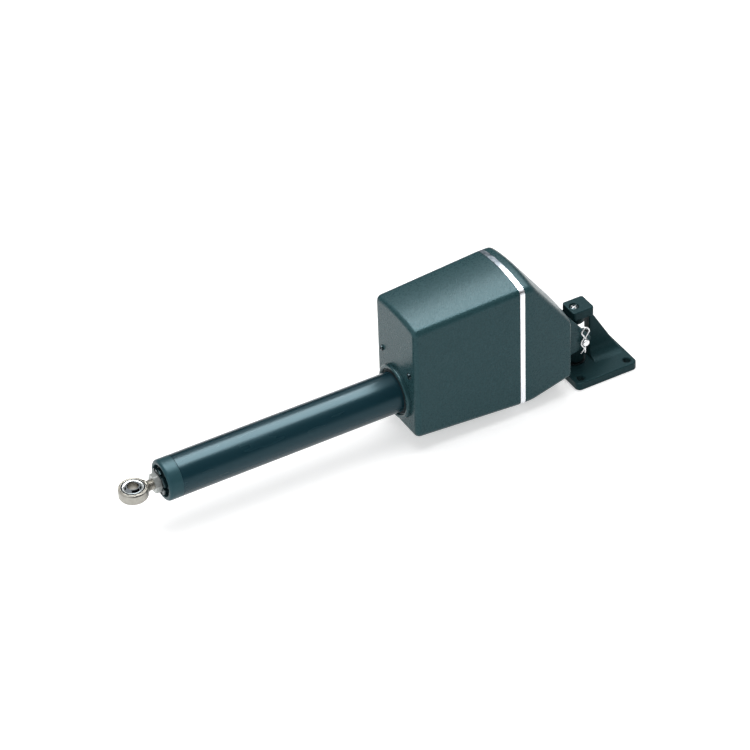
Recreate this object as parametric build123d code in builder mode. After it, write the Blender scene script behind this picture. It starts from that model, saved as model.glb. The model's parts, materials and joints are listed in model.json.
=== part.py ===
"""Autopilot linear drive for a rudder: an electric ball-screw thrust unit on a swivelling foot.

Frame: +Z up, +X from the thrust rod towards the foot. The origin is on the vertical pivot axis,
on the underside of the mounting foot. Millimetres, drawn with the rod fully retracted.
"""
import math
import os

from build123d import *

# Overall lengths and axes
stroke = 300.0
dead_length = 240.0         # retracted length less the stroke
eye_to_pivot = dead_length + stroke     # retracted, rod-end eye to vertical pivot
end_margin = 2.0            # screw left in front of the nut at full stroke
thrust_height = 60.0        # thrust line above the mounting face
motor_offset = 62.0         # motor axis above the thrust line
clevis_drop = 12.0          # clevis pin below the thrust line

# Clearances
running_gap = 0.05          # radial, between a turning or sliding pair
seat_gap = 0.02             # radial, between a part and its bore in one body
face_gap = 0.3              # between faces that pass each other

# Housing
front_face_x = -224.0
plate_front_x = -96.0
plate_thickness = 6.0
shoulder_x = -80.0
rear_wall_x = -30.0
cover_wall = 3.0
casing_wall = 3.5
corner_radius = 8.0
front_round = 6.0
tail_round = 3.0
shoulder_round = 8.0
front_half_width = 41.5
seam_half_width = 45.0
tail_half_width = 43.0
front_floor, front_shoulder, front_crown = -40.6, 102.0, 4.0
seam_floor, seam_shoulder, seam_crown = -47.0, 108.5, 6.0
tail_floor, tail_shoulder, tail_crown = -36.0, 41.0, 5.0

# Thrust tube and rod
tube_od = 46.0
tube_wall = 2.5
cap_setback = 3.0           # the cap's face behind the plug's, rod retracted
cap_length = 16.0
cap_mouth = 36.0
rod_od = 30.0
rod_wall = 3.0
eye_reach = 29.0            # from the rod-end eye to the plug's face
plug_flange = 11.0
screw_od = 16.0
journal_od = 12.0
nut_front_x = -150.0
nut_length = 34.0

# Rod end
eye_bore = 12.0
eye_head_od = 32.0
eye_head_width = 12.0
ball_od = 22.2
rod_end_length = 54.0       # from the eye to the end of its thread
ball_width = 16.0
thread_od = 12.0
lock_nut_width = 19.0
lock_nut_height = 6.5

# Motor and belt drive
motor_od = 60.0
motor_length = 95.0
motor_wall = 4.0
motor_flange_length = 8.0
motor_shaft_od = 8.0
tooth_pitch = 3.0
screw_teeth = 60
motor_teeth = 20
belt_width = 9.0
belt_thickness = 1.5

# Foot and swivel
foot_length, foot_width, foot_thickness = 78.0, 84.0, 10.0
foot_rear_x = -21.0
foot_hole_od = 9.0
foot_hole_pitch_x, foot_hole_pitch_y = 60.0, 66.0
arm_front_x, arm_rear_x = -8.0, 18.5
arm_half_width = 12.5
arm_top, arm_thickness = 82.5, 11.0
web_inner_x, web_toe_x = 16.5, 51.0
web_half_thickness = 6.0
web_flare = 12.0
pivot_screw_od = 8.0
pivot_pin_od = 12.0
clevis_pin_od = 8.0
ear_gap_half = 15.2
ear_thickness = 5.0
ear_radius = 9.0
clip_wire = 1.8

# Derived places
plate_rear_x = plate_front_x + plate_thickness
tube_radius = tube_od / 2
tube_bore = tube_radius - tube_wall
rod_radius = rod_od / 2
rod_bore = rod_radius - rod_wall
eye_x = -eye_to_pivot
plug_face_x = eye_x + eye_reach
cap_front_x = plug_face_x + cap_setback
cap_rear_x = cap_front_x + cap_length
arm_underside = arm_top - arm_thickness
clevis_z = thrust_height - clevis_drop
motor_z = thrust_height + motor_offset
foot_centre_x = foot_rear_x + foot_length / 2
thrust_axis = Axis((0, 0, thrust_height), (1, 0, 0))
motor_axis = Axis((0, 0, motor_z), (1, 0, 0))
screw_front_x = nut_front_x - stroke - end_margin

pieces = {}


def keep(name, part):
    """File a finished piece under its name."""
    part.label = name
    pieces[name] = part


def turned(name, profile, axis):
    """Solid of revolution: profile lists (station along X, radius) points round a lengthwise axis."""
    height = axis.position.Z
    with BuildPart() as body:
        with BuildSketch(Plane.XZ):
            with BuildLine():
                Polyline([(x, height + r) for x, r in profile], close=True)
            make_face()
        revolve(axis=axis)
    keep(name, body.part)
    return body.part


def sleeve(name, start, length, outer, inner, axis=thrust_axis):
    """Plain ring or tube along X."""
    end = start + length
    return turned(name, [(start, inner), (end, inner), (end, outer), (start, outer)], axis)


def crowned_section(x, half_width, floor, shoulder, crown, corner):
    """Housing outline at one station: flat floor and sides, a bowed top and four rounded corners."""
    with BuildSketch(Plane.YZ.offset(x)) as section:
        with BuildLine():
            Polyline(
                (-half_width, thrust_height + shoulder),
                (-half_width, thrust_height + floor),
                (half_width, thrust_height + floor),
                (half_width, thrust_height + shoulder),
            )
            ThreePointArc(
                (half_width, thrust_height + shoulder),
                (0, thrust_height + shoulder + crown),
                (-half_width, thrust_height + shoulder),
            )
        make_face()
        fillet(section.vertices(), corner)
    return section.sketch


def front_outline(x, wall=0.0):
    floor, shoulder = front_floor + wall, front_shoulder - wall
    return crowned_section(x, front_half_width - wall, floor, shoulder, front_crown, corner_radius - wall)


def seam_outline(x, wall=0.0):
    floor, shoulder = seam_floor + wall, seam_shoulder - wall
    return crowned_section(x, seam_half_width - wall, floor, shoulder, seam_crown, corner_radius - wall)


def tail_outline(x, wall=0.0):
    floor, shoulder = tail_floor + wall, tail_shoulder - wall
    return crowned_section(x, tail_half_width - wall, floor, shoulder, tail_crown, corner_radius - wall)


# Housing fixings
cover_screw_y, cover_screw_z = 29.0, 39.0
cover_screw_shank = 4.0
cover_screw_head = 6.4
cover_screw_head_height = 2.2
pillar_od = 9.0
casing_screw_shank = 5.0
casing_screw_head = 9.0
casing_screw_head_height = 3.5
casing_screw_y = 36.5
casing_screw_z = (-36.0, 95.0)
casing_screw_depth = 12.0
boss_od = 11.0
collar_flange = 8.0         # radial, outside the tube
collar_step = 4.0           # radial, from the collar's rim in to its spigot
collar_thickness = 5.0
collar_od = tube_od + 2 * collar_flange
collar_spigot_od = collar_od - 2 * collar_step
cover_screw_spots = [(side * cover_screw_y, thrust_height + cover_screw_z) for side in (-1, 1)]
casing_screw_spots = [(side * casing_screw_y, thrust_height + z) for side in (-1, 1) for z in casing_screw_z]

# Front cover: a drafted hood over the motor, open at the seam
with BuildPart() as front_cover:
    loft([front_outline(front_face_x), seam_outline(plate_front_x)], ruled=True)
    fillet(front_cover.faces().sort_by(Axis.X)[0].edges(), front_round)
    loft(
        [front_outline(front_face_x + cover_wall, cover_wall), seam_outline(plate_front_x, cover_wall)],
        ruled=True,
        mode=Mode.SUBTRACT,
    )
    with BuildSketch(Plane.YZ.offset(front_face_x)):
        with Locations((0, thrust_height)):
            Circle(collar_spigot_od / 2 + seat_gap)
        with Locations(*cover_screw_spots):
            Circle(cover_screw_shank / 2 + running_gap)
    extrude(amount=2 * cover_wall, mode=Mode.SUBTRACT)
keep("front_cover", front_cover.part)

# Rear casing: slopes down to the tail and carries the clevis ears
coil_rear_x = -52.0
shaft_end_x = -41.0
rear_bearing_od = 22.0
rear_bearing_length = 10.0
rear_boss_od = 30.0
gland_y, gland_z = 30.5, -15.0
gland_thread_od = 12.0
ear_root_top, ear_root_floor = 43.0, -30.0
with BuildPart() as rear_casing:
    loft([seam_outline(plate_rear_x), seam_outline(shoulder_x)], ruled=True)
    loft([seam_outline(shoulder_x), tail_outline(rear_wall_x)], ruled=True)
    bowed_edges = rear_casing.edges().filter_by(GeomType.CIRCLE)
    shoulder_edges = bowed_edges.filter_by_position(Axis.X, shoulder_x - 1, shoulder_x + 1)
    fillet(shoulder_edges.sort_by(Axis.Z)[-1], shoulder_round)
    fillet(rear_casing.faces().sort_by(Axis.X)[-1].edges(), tail_round)
    loft(
        [seam_outline(plate_rear_x, casing_wall), seam_outline(shoulder_x, casing_wall)],
        ruled=True,
        mode=Mode.SUBTRACT,
    )
    loft(
        [seam_outline(shoulder_x, casing_wall), tail_outline(rear_wall_x - casing_wall, casing_wall)],
        ruled=True,
        mode=Mode.SUBTRACT,
    )
    with BuildSketch(Plane.YZ.offset(coil_rear_x)):
        with Locations((0, thrust_height)):
            Circle(rear_boss_od / 2)
    extrude(amount=rear_wall_x - casing_wall / 2 - coil_rear_x)
    with BuildSketch(Plane.YZ.offset(plate_rear_x)):
        with Locations(*casing_screw_spots):
            Circle(boss_od / 2)
    extrude(amount=casing_screw_depth + 2)
    with BuildSketch(Plane.YZ.offset(plate_rear_x)):
        with Locations(*casing_screw_spots):
            Circle(casing_screw_shank / 2 + running_gap)
    extrude(amount=casing_screw_depth, mode=Mode.SUBTRACT)
    with BuildSketch(Plane.YZ.offset(coil_rear_x)):
        with Locations((0, thrust_height)):
            Circle(rear_bearing_od / 2 + seat_gap)
    extrude(amount=rear_bearing_length + 4, mode=Mode.SUBTRACT)
    with BuildSketch(Plane.YZ.offset(rear_wall_x - 2 * casing_wall)):
        with Locations((gland_y, thrust_height + gland_z)):
            Circle(gland_thread_od / 2 + seat_gap)
    extrude(amount=3 * casing_wall, mode=Mode.SUBTRACT)
    for side in (-1, 1):
        inner_y = ear_gap_half if side > 0 else -ear_gap_half - ear_thickness
        with BuildSketch(Plane.XZ.offset(-inner_y)):
            with BuildLine():
                CenterArc((0, clevis_z), ear_radius, 0, 360)
                Line(
                    (rear_wall_x - casing_wall / 2, thrust_height + ear_root_floor),
                    (rear_wall_x - casing_wall / 2, thrust_height + ear_root_top),
                )
            make_hull()
        extrude(amount=-ear_thickness)
        with BuildSketch(Plane.XZ.offset(-inner_y)):
            with Locations((0, clevis_z)):
                Circle(clevis_pin_od / 2 + seat_gap)
        extrude(amount=-ear_thickness, mode=Mode.SUBTRACT)
keep("rear_casing", rear_casing.part)

# Chassis plate: the bright edge between the two covers; it carries motor, bearing housing and tube
bearing_od = 32.0
bearing_length = 14.0
plate_bore = 26.0
motor_shaft_hole = 20.0
motor_screw_circle = 46.0
motor_screw_od = 4.0
housing_flange_od = 62.0
housing_screw_circle = 52.0
housing_flange_length = 8.0
housing_spigot_length = 8.0
housing_flange_x = plate_front_x - housing_flange_length
housing_spigot_x = housing_flange_x - housing_spigot_length
casing_screw_clearance = 0.25
with BuildPart() as chassis_plate:
    extrude(seam_outline(plate_front_x), amount=plate_thickness)
    with BuildSketch(Plane.YZ.offset(plate_front_x)):
        with Locations((0, thrust_height)):
            Circle(plate_bore / 2)
        with Locations((0, motor_z)):
            Circle(motor_shaft_hole / 2)
            with PolarLocations(motor_screw_circle / 2, 2, 90):
                Circle(motor_screw_od / 2 + running_gap)
        with Locations(*casing_screw_spots):
            Circle(casing_screw_shank / 2 + casing_screw_clearance)
    extrude(amount=plate_thickness, mode=Mode.SUBTRACT)
keep("chassis_plate", chassis_plate.part)

# Long pillars from the chassis plate to the front wall, and the two screws that pull the cover on
pillar_front_x = front_face_x + cover_wall
cover_screw_depth = 12.0
with BuildPart() as cover_pillars:
    with BuildSketch(Plane.YZ.offset(pillar_front_x)):
        with Locations(*cover_screw_spots):
            Circle(pillar_od / 2)
    extrude(amount=plate_front_x - pillar_front_x)
    with BuildSketch(Plane.YZ.offset(pillar_front_x)):
        with Locations(*cover_screw_spots):
            Circle(cover_screw_shank / 2 + seat_gap)
    extrude(amount=cover_screw_depth, mode=Mode.SUBTRACT)
keep("cover_pillars", cover_pillars.part)


def cap_screws(name, spots, seat_x, head_od, head_height, shank_od, shank_length, direction=1):
    """Round-headed screws with a hexagon socket, heads seated at seat_x, shanks along direction X."""
    with BuildPart() as screws:
        with BuildSketch(Plane.YZ.offset(seat_x)):
            with Locations(*spots):
                Circle(head_od / 2)
        extrude(amount=-direction * head_height)
        with BuildSketch(Plane.YZ.offset(seat_x)):
            with Locations(*spots):
                Circle(shank_od / 2)
        extrude(amount=direction * shank_length)
        with BuildSketch(Plane.YZ.offset(seat_x - direction * head_height)):
            with Locations(*spots):
                RegularPolygon(head_od / 4, 6)
        extrude(amount=direction * head_height * 0.6, mode=Mode.SUBTRACT)
    keep(name, screws.part)


cap_screws(
    "cover_screws", cover_screw_spots, front_face_x, cover_screw_head, cover_screw_head_height,
    cover_screw_shank, cover_wall + cover_screw_depth - 2.0,
)
cap_screws(
    "casing_screws", casing_screw_spots, plate_front_x, casing_screw_head, casing_screw_head_height,
    casing_screw_shank, plate_thickness + casing_screw_depth - 2.0,
)

# Collar where the thrust tube enters the front cover: a rolled bead outside, a groove and a spigot
collar_front_x = front_face_x - collar_thickness
collar_bead = 2.0
collar_groove_depth = 2.5
collar_bore = tube_radius + seat_gap
with BuildPart() as tube_collar:
    with BuildSketch(Plane.XZ):
        with BuildLine():
            Polyline(
                (collar_front_x + collar_groove_depth, thrust_height + collar_od / 2 - 2 * collar_bead),
                (collar_front_x + collar_groove_depth, thrust_height + collar_bore),
                (front_face_x + cover_wall + 2.0, thrust_height + collar_bore),
                (front_face_x + cover_wall + 2.0, thrust_height + collar_spigot_od / 2),
                (front_face_x, thrust_height + collar_spigot_od / 2),
                (front_face_x, thrust_height + collar_od / 2),
                (collar_front_x + collar_bead, thrust_height + collar_od / 2),
            )
            ThreePointArc(
                (collar_front_x + collar_bead, thrust_height + collar_od / 2),
                (collar_front_x, thrust_height + collar_od / 2 - collar_bead),
                (collar_front_x + collar_bead, thrust_height + collar_od / 2 - 2 * collar_bead),
            )
            Line(
                (collar_front_x + collar_bead, thrust_height + collar_od / 2 - 2 * collar_bead),
                (collar_front_x + collar_groove_depth, thrust_height + collar_od / 2 - 2 * collar_bead),
            )
        make_face()
    revolve(axis=thrust_axis)
keep("tube_collar", tube_collar.part)

seal_width = 2.6
sleeve(
    "tube_seal", collar_front_x + collar_groove_depth - 2.2, 2.2, tube_radius + seat_gap + seal_width,
    tube_radius + seat_gap,
)

# Thrust tube, its end cap, and the bush and wiper that guide the rod
bush_length = 30.0
cap_spigot = 10.0
cap_mouth_depth = 6.0
wiper_depth = 5.0
tube_rear_x = housing_flange_x
sleeve("outer_tube", cap_rear_x, tube_rear_x - cap_rear_x, tube_radius, tube_bore)
with BuildPart() as tube_end_cap:
    with BuildSketch(Plane.YZ.offset(cap_front_x)):
        with Locations((0, thrust_height)):
            Circle(tube_radius)
    extrude(amount=cap_length)
    fillet(tube_end_cap.edges().filter_by(GeomType.CIRCLE).sort_by(Axis.X)[0], 3.0)
    with BuildSketch(Plane.YZ.offset(cap_rear_x)):
        with Locations((0, thrust_height)):
            Circle(tube_bore - seat_gap)
    extrude(amount=cap_spigot)
    with BuildSketch(Plane.YZ.offset(cap_front_x)):
        with Locations((0, thrust_height)):
            Circle(cap_mouth / 2)
    extrude(amount=cap_mouth_depth + wiper_depth, mode=Mode.SUBTRACT)
    with BuildSketch(Plane.YZ.offset(cap_front_x)):
        with Locations((0, thrust_height)):
            Circle(rod_radius + 1.0)
    extrude(amount=cap_length + cap_spigot, mode=Mode.SUBTRACT)
keep("tube_end_cap", tube_end_cap.part)
sleeve(
    "rod_wiper", cap_front_x + cap_mouth_depth, wiper_depth,
    cap_mouth / 2 - seat_gap, rod_radius + running_gap,
)
sleeve("rod_guide_bush", cap_rear_x + cap_spigot, bush_length, tube_bore - seat_gap, rod_radius + running_gap)

# Push tube with its slotted end plug and the ball nut at the other end
plug_rear_x = plug_face_x + plug_flange
plug_spigot = 20.0
nut_spigot = 16.0
plug_slots = 6
plug_slot_width, plug_slot_depth = 4.0, 4.0
nut_flange_od = 38.0
nut_body_x = nut_front_x + 8.0
sleeve("push_tube", plug_rear_x, nut_front_x - plug_rear_x, rod_radius, rod_bore)
with BuildPart() as rod_end_plug:
    with BuildSketch(Plane.YZ.offset(plug_face_x)):
        with Locations((0, thrust_height)):
            Circle(rod_radius)
    extrude(amount=plug_flange)
    chamfer(rod_end_plug.edges().filter_by(GeomType.CIRCLE).sort_by(Axis.X)[0], 0.8)
    with BuildSketch(Plane.YZ.offset(plug_rear_x)):
        with Locations((0, thrust_height)):
            Circle(rod_bore - seat_gap)
    extrude(amount=plug_spigot)
    with BuildSketch(Plane.YZ.offset(plug_face_x)):
        with Locations((0, thrust_height)):
            with PolarLocations(rod_radius, plug_slots):
                Rectangle(2 * plug_slot_depth, plug_slot_width)
    extrude(amount=plug_slot_depth, mode=Mode.SUBTRACT)
    with BuildSketch(Plane.YZ.offset(plug_face_x)):
        with Locations((0, thrust_height)):
            Circle(thread_od / 2 + seat_gap)
    extrude(amount=plug_flange + plug_spigot, mode=Mode.SUBTRACT)
keep("rod_end_plug", rod_end_plug.part)
nut_bore = screw_od / 2 + running_gap
turned(
    "ball_nut",
    [
        (nut_front_x - nut_spigot, nut_bore),
        (nut_front_x + nut_length, nut_bore),
        (nut_front_x + nut_length, rod_radius),
        (nut_body_x, rod_radius),
        (nut_body_x, nut_flange_od / 2),
        (nut_front_x, nut_flange_od / 2),
        (nut_front_x, rod_bore - seat_gap),
        (nut_front_x - nut_spigot, rod_bore - seat_gap),
    ],
    thrust_axis,
)

# Rod end: lock nut, forged eye housing, race insert and ball
lock_nut_front_x = plug_face_x - lock_nut_height
race_od = 26.0
race_mouth = 20.4
neck_od = 14.0
shank_start_x = eye_x + eye_head_od / 2 - 2.0
shank_end_x = eye_x + rod_end_length
with BuildPart() as lock_nut:
    with BuildSketch(Plane.YZ.offset(lock_nut_front_x)):
        with Locations((0, thrust_height)):
            RegularPolygon(lock_nut_width / 2, 6, major_radius=False)
            Circle(thread_od / 2 + seat_gap, mode=Mode.SUBTRACT)
    extrude(amount=lock_nut_height)
    with BuildSketch(Plane.XZ):
        with BuildLine():
            Polyline(
                (lock_nut_front_x, thrust_height),
                (lock_nut_front_x, thrust_height + lock_nut_width / 2),
                (lock_nut_front_x + 1.0, thrust_height + lock_nut_width / 2 + 1.8),
                (plug_face_x - 1.0, thrust_height + lock_nut_width / 2 + 1.8),
                (plug_face_x, thrust_height + lock_nut_width / 2),
                (plug_face_x, thrust_height),
                close=True,
            )
        make_face()
    revolve(axis=thrust_axis, mode=Mode.INTERSECT)
keep("lock_nut", lock_nut.part)

with BuildPart() as rod_end_housing:
    with BuildSketch(Plane.XY.offset(thrust_height - eye_head_width / 2)):
        with Locations((eye_x, 0)):
            Circle(eye_head_od / 2)
    extrude(amount=eye_head_width)
    rim_edges = rod_end_housing.edges().filter_by(GeomType.CIRCLE)
    fillet(rim_edges, 1.5)
    with BuildSketch(Plane.XZ):
        with BuildLine():
            Polyline(
                (eye_x + race_od / 2 + 0.5, thrust_height),
                (eye_x + race_od / 2 + 0.5, thrust_height + 5.0),
                (shank_start_x, thrust_height + neck_od / 2 - 1.5),
                (shank_start_x + 3.0, thrust_height + thread_od / 2),
                (shank_end_x, thrust_height + thread_od / 2),
                (shank_end_x, thrust_height),
                close=True,
            )
        make_face()
    revolve(axis=thrust_axis)
    with BuildSketch(Plane.XY.offset(thrust_height - eye_head_width / 2)):
        with Locations((eye_x, 0)):
            Circle(race_od / 2 + seat_gap)
    extrude(amount=eye_head_width, mode=Mode.SUBTRACT)
keep("rod_end_housing", rod_end_housing.part)

with BuildPart() as rod_end_race:
    with BuildSketch(Plane.XY.offset(thrust_height - eye_head_width / 2)):
        with Locations((eye_x, 0)):
            Circle(race_od / 2)
    extrude(amount=eye_head_width)
    with Locations((eye_x, 0, thrust_height)):
        Sphere(ball_od / 2 + running_gap, mode=Mode.SUBTRACT)
keep("rod_end_race", rod_end_race.part)

with BuildPart() as rod_end_ball:
    with Locations((eye_x, 0, thrust_height)):
        Sphere(ball_od / 2)
        Box(ball_od, ball_od, ball_width, mode=Mode.INTERSECT)
        Cylinder(eye_bore / 2, ball_width, mode=Mode.SUBTRACT)
keep("rod_end_ball", rod_end_ball.part)

# Ball screw, its bearings and bearing housing
bearing_front_x = plate_front_x - bearing_length
journal_bore = journal_od / 2 + running_gap
turned(
    "ball_screw",
    [
        (screw_front_x, 0),
        (screw_front_x, screw_od / 2 - 1.0),
        (screw_front_x + 1.0, screw_od / 2),
        (housing_spigot_x - 1.0, screw_od / 2),
        (housing_spigot_x - 1.0, journal_od / 2),
        (shaft_end_x, journal_od / 2),
        (shaft_end_x, 0),
    ],
    thrust_axis,
)
with BuildPart() as bearing_housing:
    with BuildSketch(Plane.YZ.offset(housing_flange_x)):
        with Locations((0, thrust_height)):
            Circle(housing_flange_od / 2)
    extrude(amount=plate_front_x - housing_flange_x)
    with BuildSketch(Plane.YZ.offset(housing_spigot_x)):
        with Locations((0, thrust_height)):
            Circle(tube_bore - seat_gap)
    extrude(amount=housing_flange_x - housing_spigot_x)
    with BuildSketch(Plane.YZ.offset(bearing_front_x)):
        with Locations((0, thrust_height)):
            Circle(bearing_od / 2 + seat_gap)
    extrude(amount=bearing_length, mode=Mode.SUBTRACT)
    with BuildSketch(Plane.YZ.offset(housing_spigot_x)):
        with Locations((0, thrust_height)):
            Circle(journal_od / 2 + 2.0)
    extrude(amount=plate_front_x - housing_spigot_x, mode=Mode.SUBTRACT)
keep("bearing_housing", bearing_housing.part)
sleeve("thrust_bearing", bearing_front_x, bearing_length, bearing_od / 2, journal_bore)
sleeve("rear_bearing", coil_rear_x, rear_bearing_length, rear_bearing_od / 2, journal_bore)

# Motor beside the tube
motor_rear_x = plate_front_x - motor_flange_length
motor_front_x = motor_rear_x - motor_length
motor_cap_length = 8.0
motor_cap_floor = 2.0
motor_spigot = 4.0
motor_screw_head, motor_screw_head_height = 7.0, 3.0
armature_od = 44.0
motor_screw_depth = 6.0
armature_margin = 18.0
end_play = 4.0
motor_shaft_reach = 17.0
shaft_front_x = motor_front_x - motor_cap_length + motor_cap_floor + end_play
sleeve("motor_can", motor_front_x, motor_length, motor_od / 2, motor_od / 2 - motor_wall, motor_axis)
with BuildPart() as motor_end_cap:
    with BuildSketch(Plane.YZ.offset(motor_front_x)):
        with Locations((0, motor_z)):
            Circle(motor_od / 2)
    extrude(amount=-motor_cap_length)
    with BuildSketch(Plane.YZ.offset(motor_front_x)):
        with Locations((0, motor_z)):
            Circle(motor_od / 2 - motor_wall - seat_gap)
    extrude(amount=motor_spigot)
    with BuildSketch(Plane.YZ.offset(motor_front_x + motor_spigot)):
        with Locations((0, motor_z)):
            Circle(motor_shaft_od / 2 + running_gap)
    extrude(amount=-motor_spigot - motor_cap_length + motor_cap_floor, mode=Mode.SUBTRACT)
keep("motor_end_cap", motor_end_cap.part)
with BuildPart() as motor_flange:
    with BuildSketch(Plane.YZ.offset(motor_rear_x)):
        with Locations((0, motor_z)):
            Circle(motor_od / 2)
    extrude(amount=plate_front_x - motor_rear_x)
    with BuildSketch(Plane.YZ.offset(motor_rear_x)):
        with Locations((0, motor_z)):
            Circle(motor_od / 2 - motor_wall - seat_gap)
    extrude(amount=-motor_spigot)
    with BuildSketch(Plane.YZ.offset(plate_front_x)):
        with Locations((0, motor_z)):
            with PolarLocations(motor_screw_circle / 2, 2, 90):
                Circle(motor_screw_od / 2 + seat_gap)
    extrude(amount=-motor_screw_depth, mode=Mode.SUBTRACT)
    with BuildSketch(Plane.YZ.offset(motor_rear_x - motor_spigot)):
        with Locations((0, motor_z)):
            Circle(motor_shaft_od / 2 + running_gap)
    extrude(amount=plate_front_x - motor_rear_x + motor_spigot, mode=Mode.SUBTRACT)
keep("motor_flange", motor_flange.part)
motor_screw_spots = [(0, motor_z + side * motor_screw_circle / 2) for side in (-1, 1)]
cap_screws(
    "motor_screws", motor_screw_spots, plate_rear_x,
    motor_screw_head, motor_screw_head_height, motor_screw_od,
    plate_thickness + motor_screw_depth - 1.0, -1,
)
motor_shaft_end_x = plate_rear_x + motor_shaft_reach
turned(
    "motor_shaft",
    [
        (shaft_front_x, 0),
        (shaft_front_x, motor_shaft_od / 2),
        (motor_front_x + armature_margin, motor_shaft_od / 2),
        (motor_front_x + armature_margin, armature_od / 2),
        (motor_rear_x - armature_margin, armature_od / 2),
        (motor_rear_x - armature_margin, motor_shaft_od / 2),
        (motor_shaft_end_x, motor_shaft_od / 2),
        (motor_shaft_end_x, 0),
    ],
    motor_axis,
)

# Toothed pulleys and the belt between them
pulley_front_x = plate_rear_x + 2.5
tooth_depth = 1.2
flange_thickness = 1.2
flange_lip = 2.2
belt_gap = 0.25


def tip_radius(teeth):
    return teeth * tooth_pitch / math.pi / 2 - 0.4


def toothed_pulley(name, teeth, height, bore_radius):
    """Toothed rim with two side flanges and a bore, the first flange at pulley_front_x."""
    tip = tip_radius(teeth)
    root = tip - tooth_depth
    step = 2 * math.pi / teeth
    points = []
    for tooth in range(teeth):
        for radius, share in ((root, -0.28), (tip, -0.18), (tip, 0.18), (root, 0.28)):
            angle = step * (tooth + share)
            points.append((radius * math.cos(angle), height + radius * math.sin(angle)))
    rim_x = pulley_front_x + flange_thickness
    with BuildPart() as pulley:
        with BuildSketch(Plane.YZ.offset(rim_x)):
            with BuildLine():
                Polyline(points, close=True)
            make_face()
        extrude(amount=belt_width + 2 * belt_gap)
        with BuildSketch(Plane.YZ.offset(pulley_front_x), Plane.YZ.offset(rim_x + belt_width + 2 * belt_gap)):
            with Locations((0, height)):
                Circle(tip + flange_lip)
        extrude(amount=flange_thickness)
        with BuildSketch(Plane.YZ.offset(pulley_front_x)):
            with Locations((0, height)):
                Circle(bore_radius)
        extrude(amount=belt_width + 2 * belt_gap + 2 * flange_thickness, mode=Mode.SUBTRACT)
    keep(name, pulley.part)


toothed_pulley("driven_pulley", screw_teeth, thrust_height, journal_od / 2 + seat_gap)
toothed_pulley("drive_pulley", motor_teeth, motor_z, motor_shaft_od / 2 + seat_gap)
pulley_length = belt_width + 2 * belt_gap + 2 * flange_thickness
belt_x = pulley_front_x + flange_thickness + belt_gap


def belt_outline(gap):
    """Closed loop round both pulleys, standing gap above their tips."""
    with BuildSketch(Plane.YZ.offset(belt_x)) as loop:
        with BuildLine():
            CenterArc((0, thrust_height), tip_radius(screw_teeth) + gap, 0, 360)
            CenterArc((0, motor_z), tip_radius(motor_teeth) + gap, 0, 360)
        make_hull()
    return loop.sketch


with BuildPart() as toothed_belt:
    extrude(belt_outline(belt_gap + belt_thickness), amount=belt_width)
    extrude(belt_outline(belt_gap), amount=belt_width, mode=Mode.SUBTRACT)
keep("toothed_belt", toothed_belt.part)

# Electromagnetic clutch behind the driven pulley
rotor_front_x = pulley_front_x + pulley_length
rotor_thickness = 3.0
rotor_hub_length, rotor_hub_wall = 6.0, 3.0
rotor_rim_setback = 3.0
clutch_air_gap = 2.0
coil_bore_gap = 4.0
coil_front_x = rotor_front_x + rotor_thickness + clutch_air_gap
clutch_od = 60.0
turned(
    "clutch_rotor",
    [
        (rotor_front_x, journal_od / 2 + seat_gap),
        (rotor_front_x + rotor_thickness + rotor_hub_length, journal_od / 2 + seat_gap),
        (rotor_front_x + rotor_thickness + rotor_hub_length, journal_od / 2 + rotor_hub_wall),
        (rotor_front_x + rotor_thickness, journal_od / 2 + rotor_hub_wall),
        (rotor_front_x + rotor_thickness, clutch_od / 2 - rotor_rim_setback),
        (rotor_front_x, clutch_od / 2 - rotor_rim_setback),
    ],
    thrust_axis,
)
sleeve("clutch_coil", coil_front_x, coil_rear_x - coil_front_x, clutch_od / 2, journal_od / 2 + coil_bore_gap)

# Cable gland in the tail, without a cable
gland_hex, gland_nose = 16.0, 13.0
gland_hex_length, gland_nose_length = 5.0, 9.0
cable_bore, cable_bore_depth = 6.0, 10.0
gland_end_x = rear_wall_x + gland_hex_length + gland_nose_length
with BuildPart() as cable_gland:
    with BuildSketch(Plane.YZ.offset(rear_wall_x - 2 * casing_wall)):
        with Locations((gland_y, thrust_height + gland_z)):
            Circle(gland_thread_od / 2)
    extrude(amount=2 * casing_wall)
    with BuildSketch(Plane.YZ.offset(rear_wall_x)):
        with Locations((gland_y, thrust_height + gland_z)):
            RegularPolygon(gland_hex / 2, 6, major_radius=False)
    extrude(amount=gland_hex_length)
    with BuildSketch(Plane.YZ.offset(rear_wall_x + gland_hex_length)):
        with Locations((gland_y, thrust_height + gland_z)):
            Circle(gland_nose / 2)
    extrude(amount=gland_nose_length, taper=8)
    with BuildSketch(Plane.YZ.offset(gland_end_x)):
        with Locations((gland_y, thrust_height + gland_z)):
            Circle(cable_bore / 2)
    extrude(amount=-cable_bore_depth, mode=Mode.SUBTRACT)
keep("cable_gland", cable_gland.part)

# Clevis pin through the ears, with its cross hole, and the spring clip
pin_radius = clevis_pin_od / 2
ear_outer_y = ear_gap_half + ear_thickness
pin_near_y = -ear_outer_y - 6.0
clip_y = -ear_outer_y - 3.2
pin_head_od, pin_head_height = 12.0, 3.0
with BuildPart() as clevis_pin:
    with BuildSketch(Plane.XZ.offset(-pin_near_y)):
        with Locations((0, clevis_z)):
            Circle(pin_radius)
    extrude(amount=pin_near_y - ear_outer_y - pin_head_height)
    chamfer(clevis_pin.edges().filter_by(GeomType.CIRCLE).sort_by(Axis.Y)[0], 0.8)
    with BuildSketch(Plane.XZ.offset(-ear_outer_y)):
        with Locations((0, clevis_z)):
            Circle(pin_head_od / 2)
    extrude(amount=-pin_head_height)
    with BuildSketch(Plane.XY.offset(clevis_z - pin_radius - 1)):
        with Locations((0, clip_y)):
            Circle(clip_wire / 2 + seat_gap)
    extrude(amount=2 * pin_radius + 2, mode=Mode.SUBTRACT)
keep("clevis_pin", clevis_pin.part)

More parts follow.
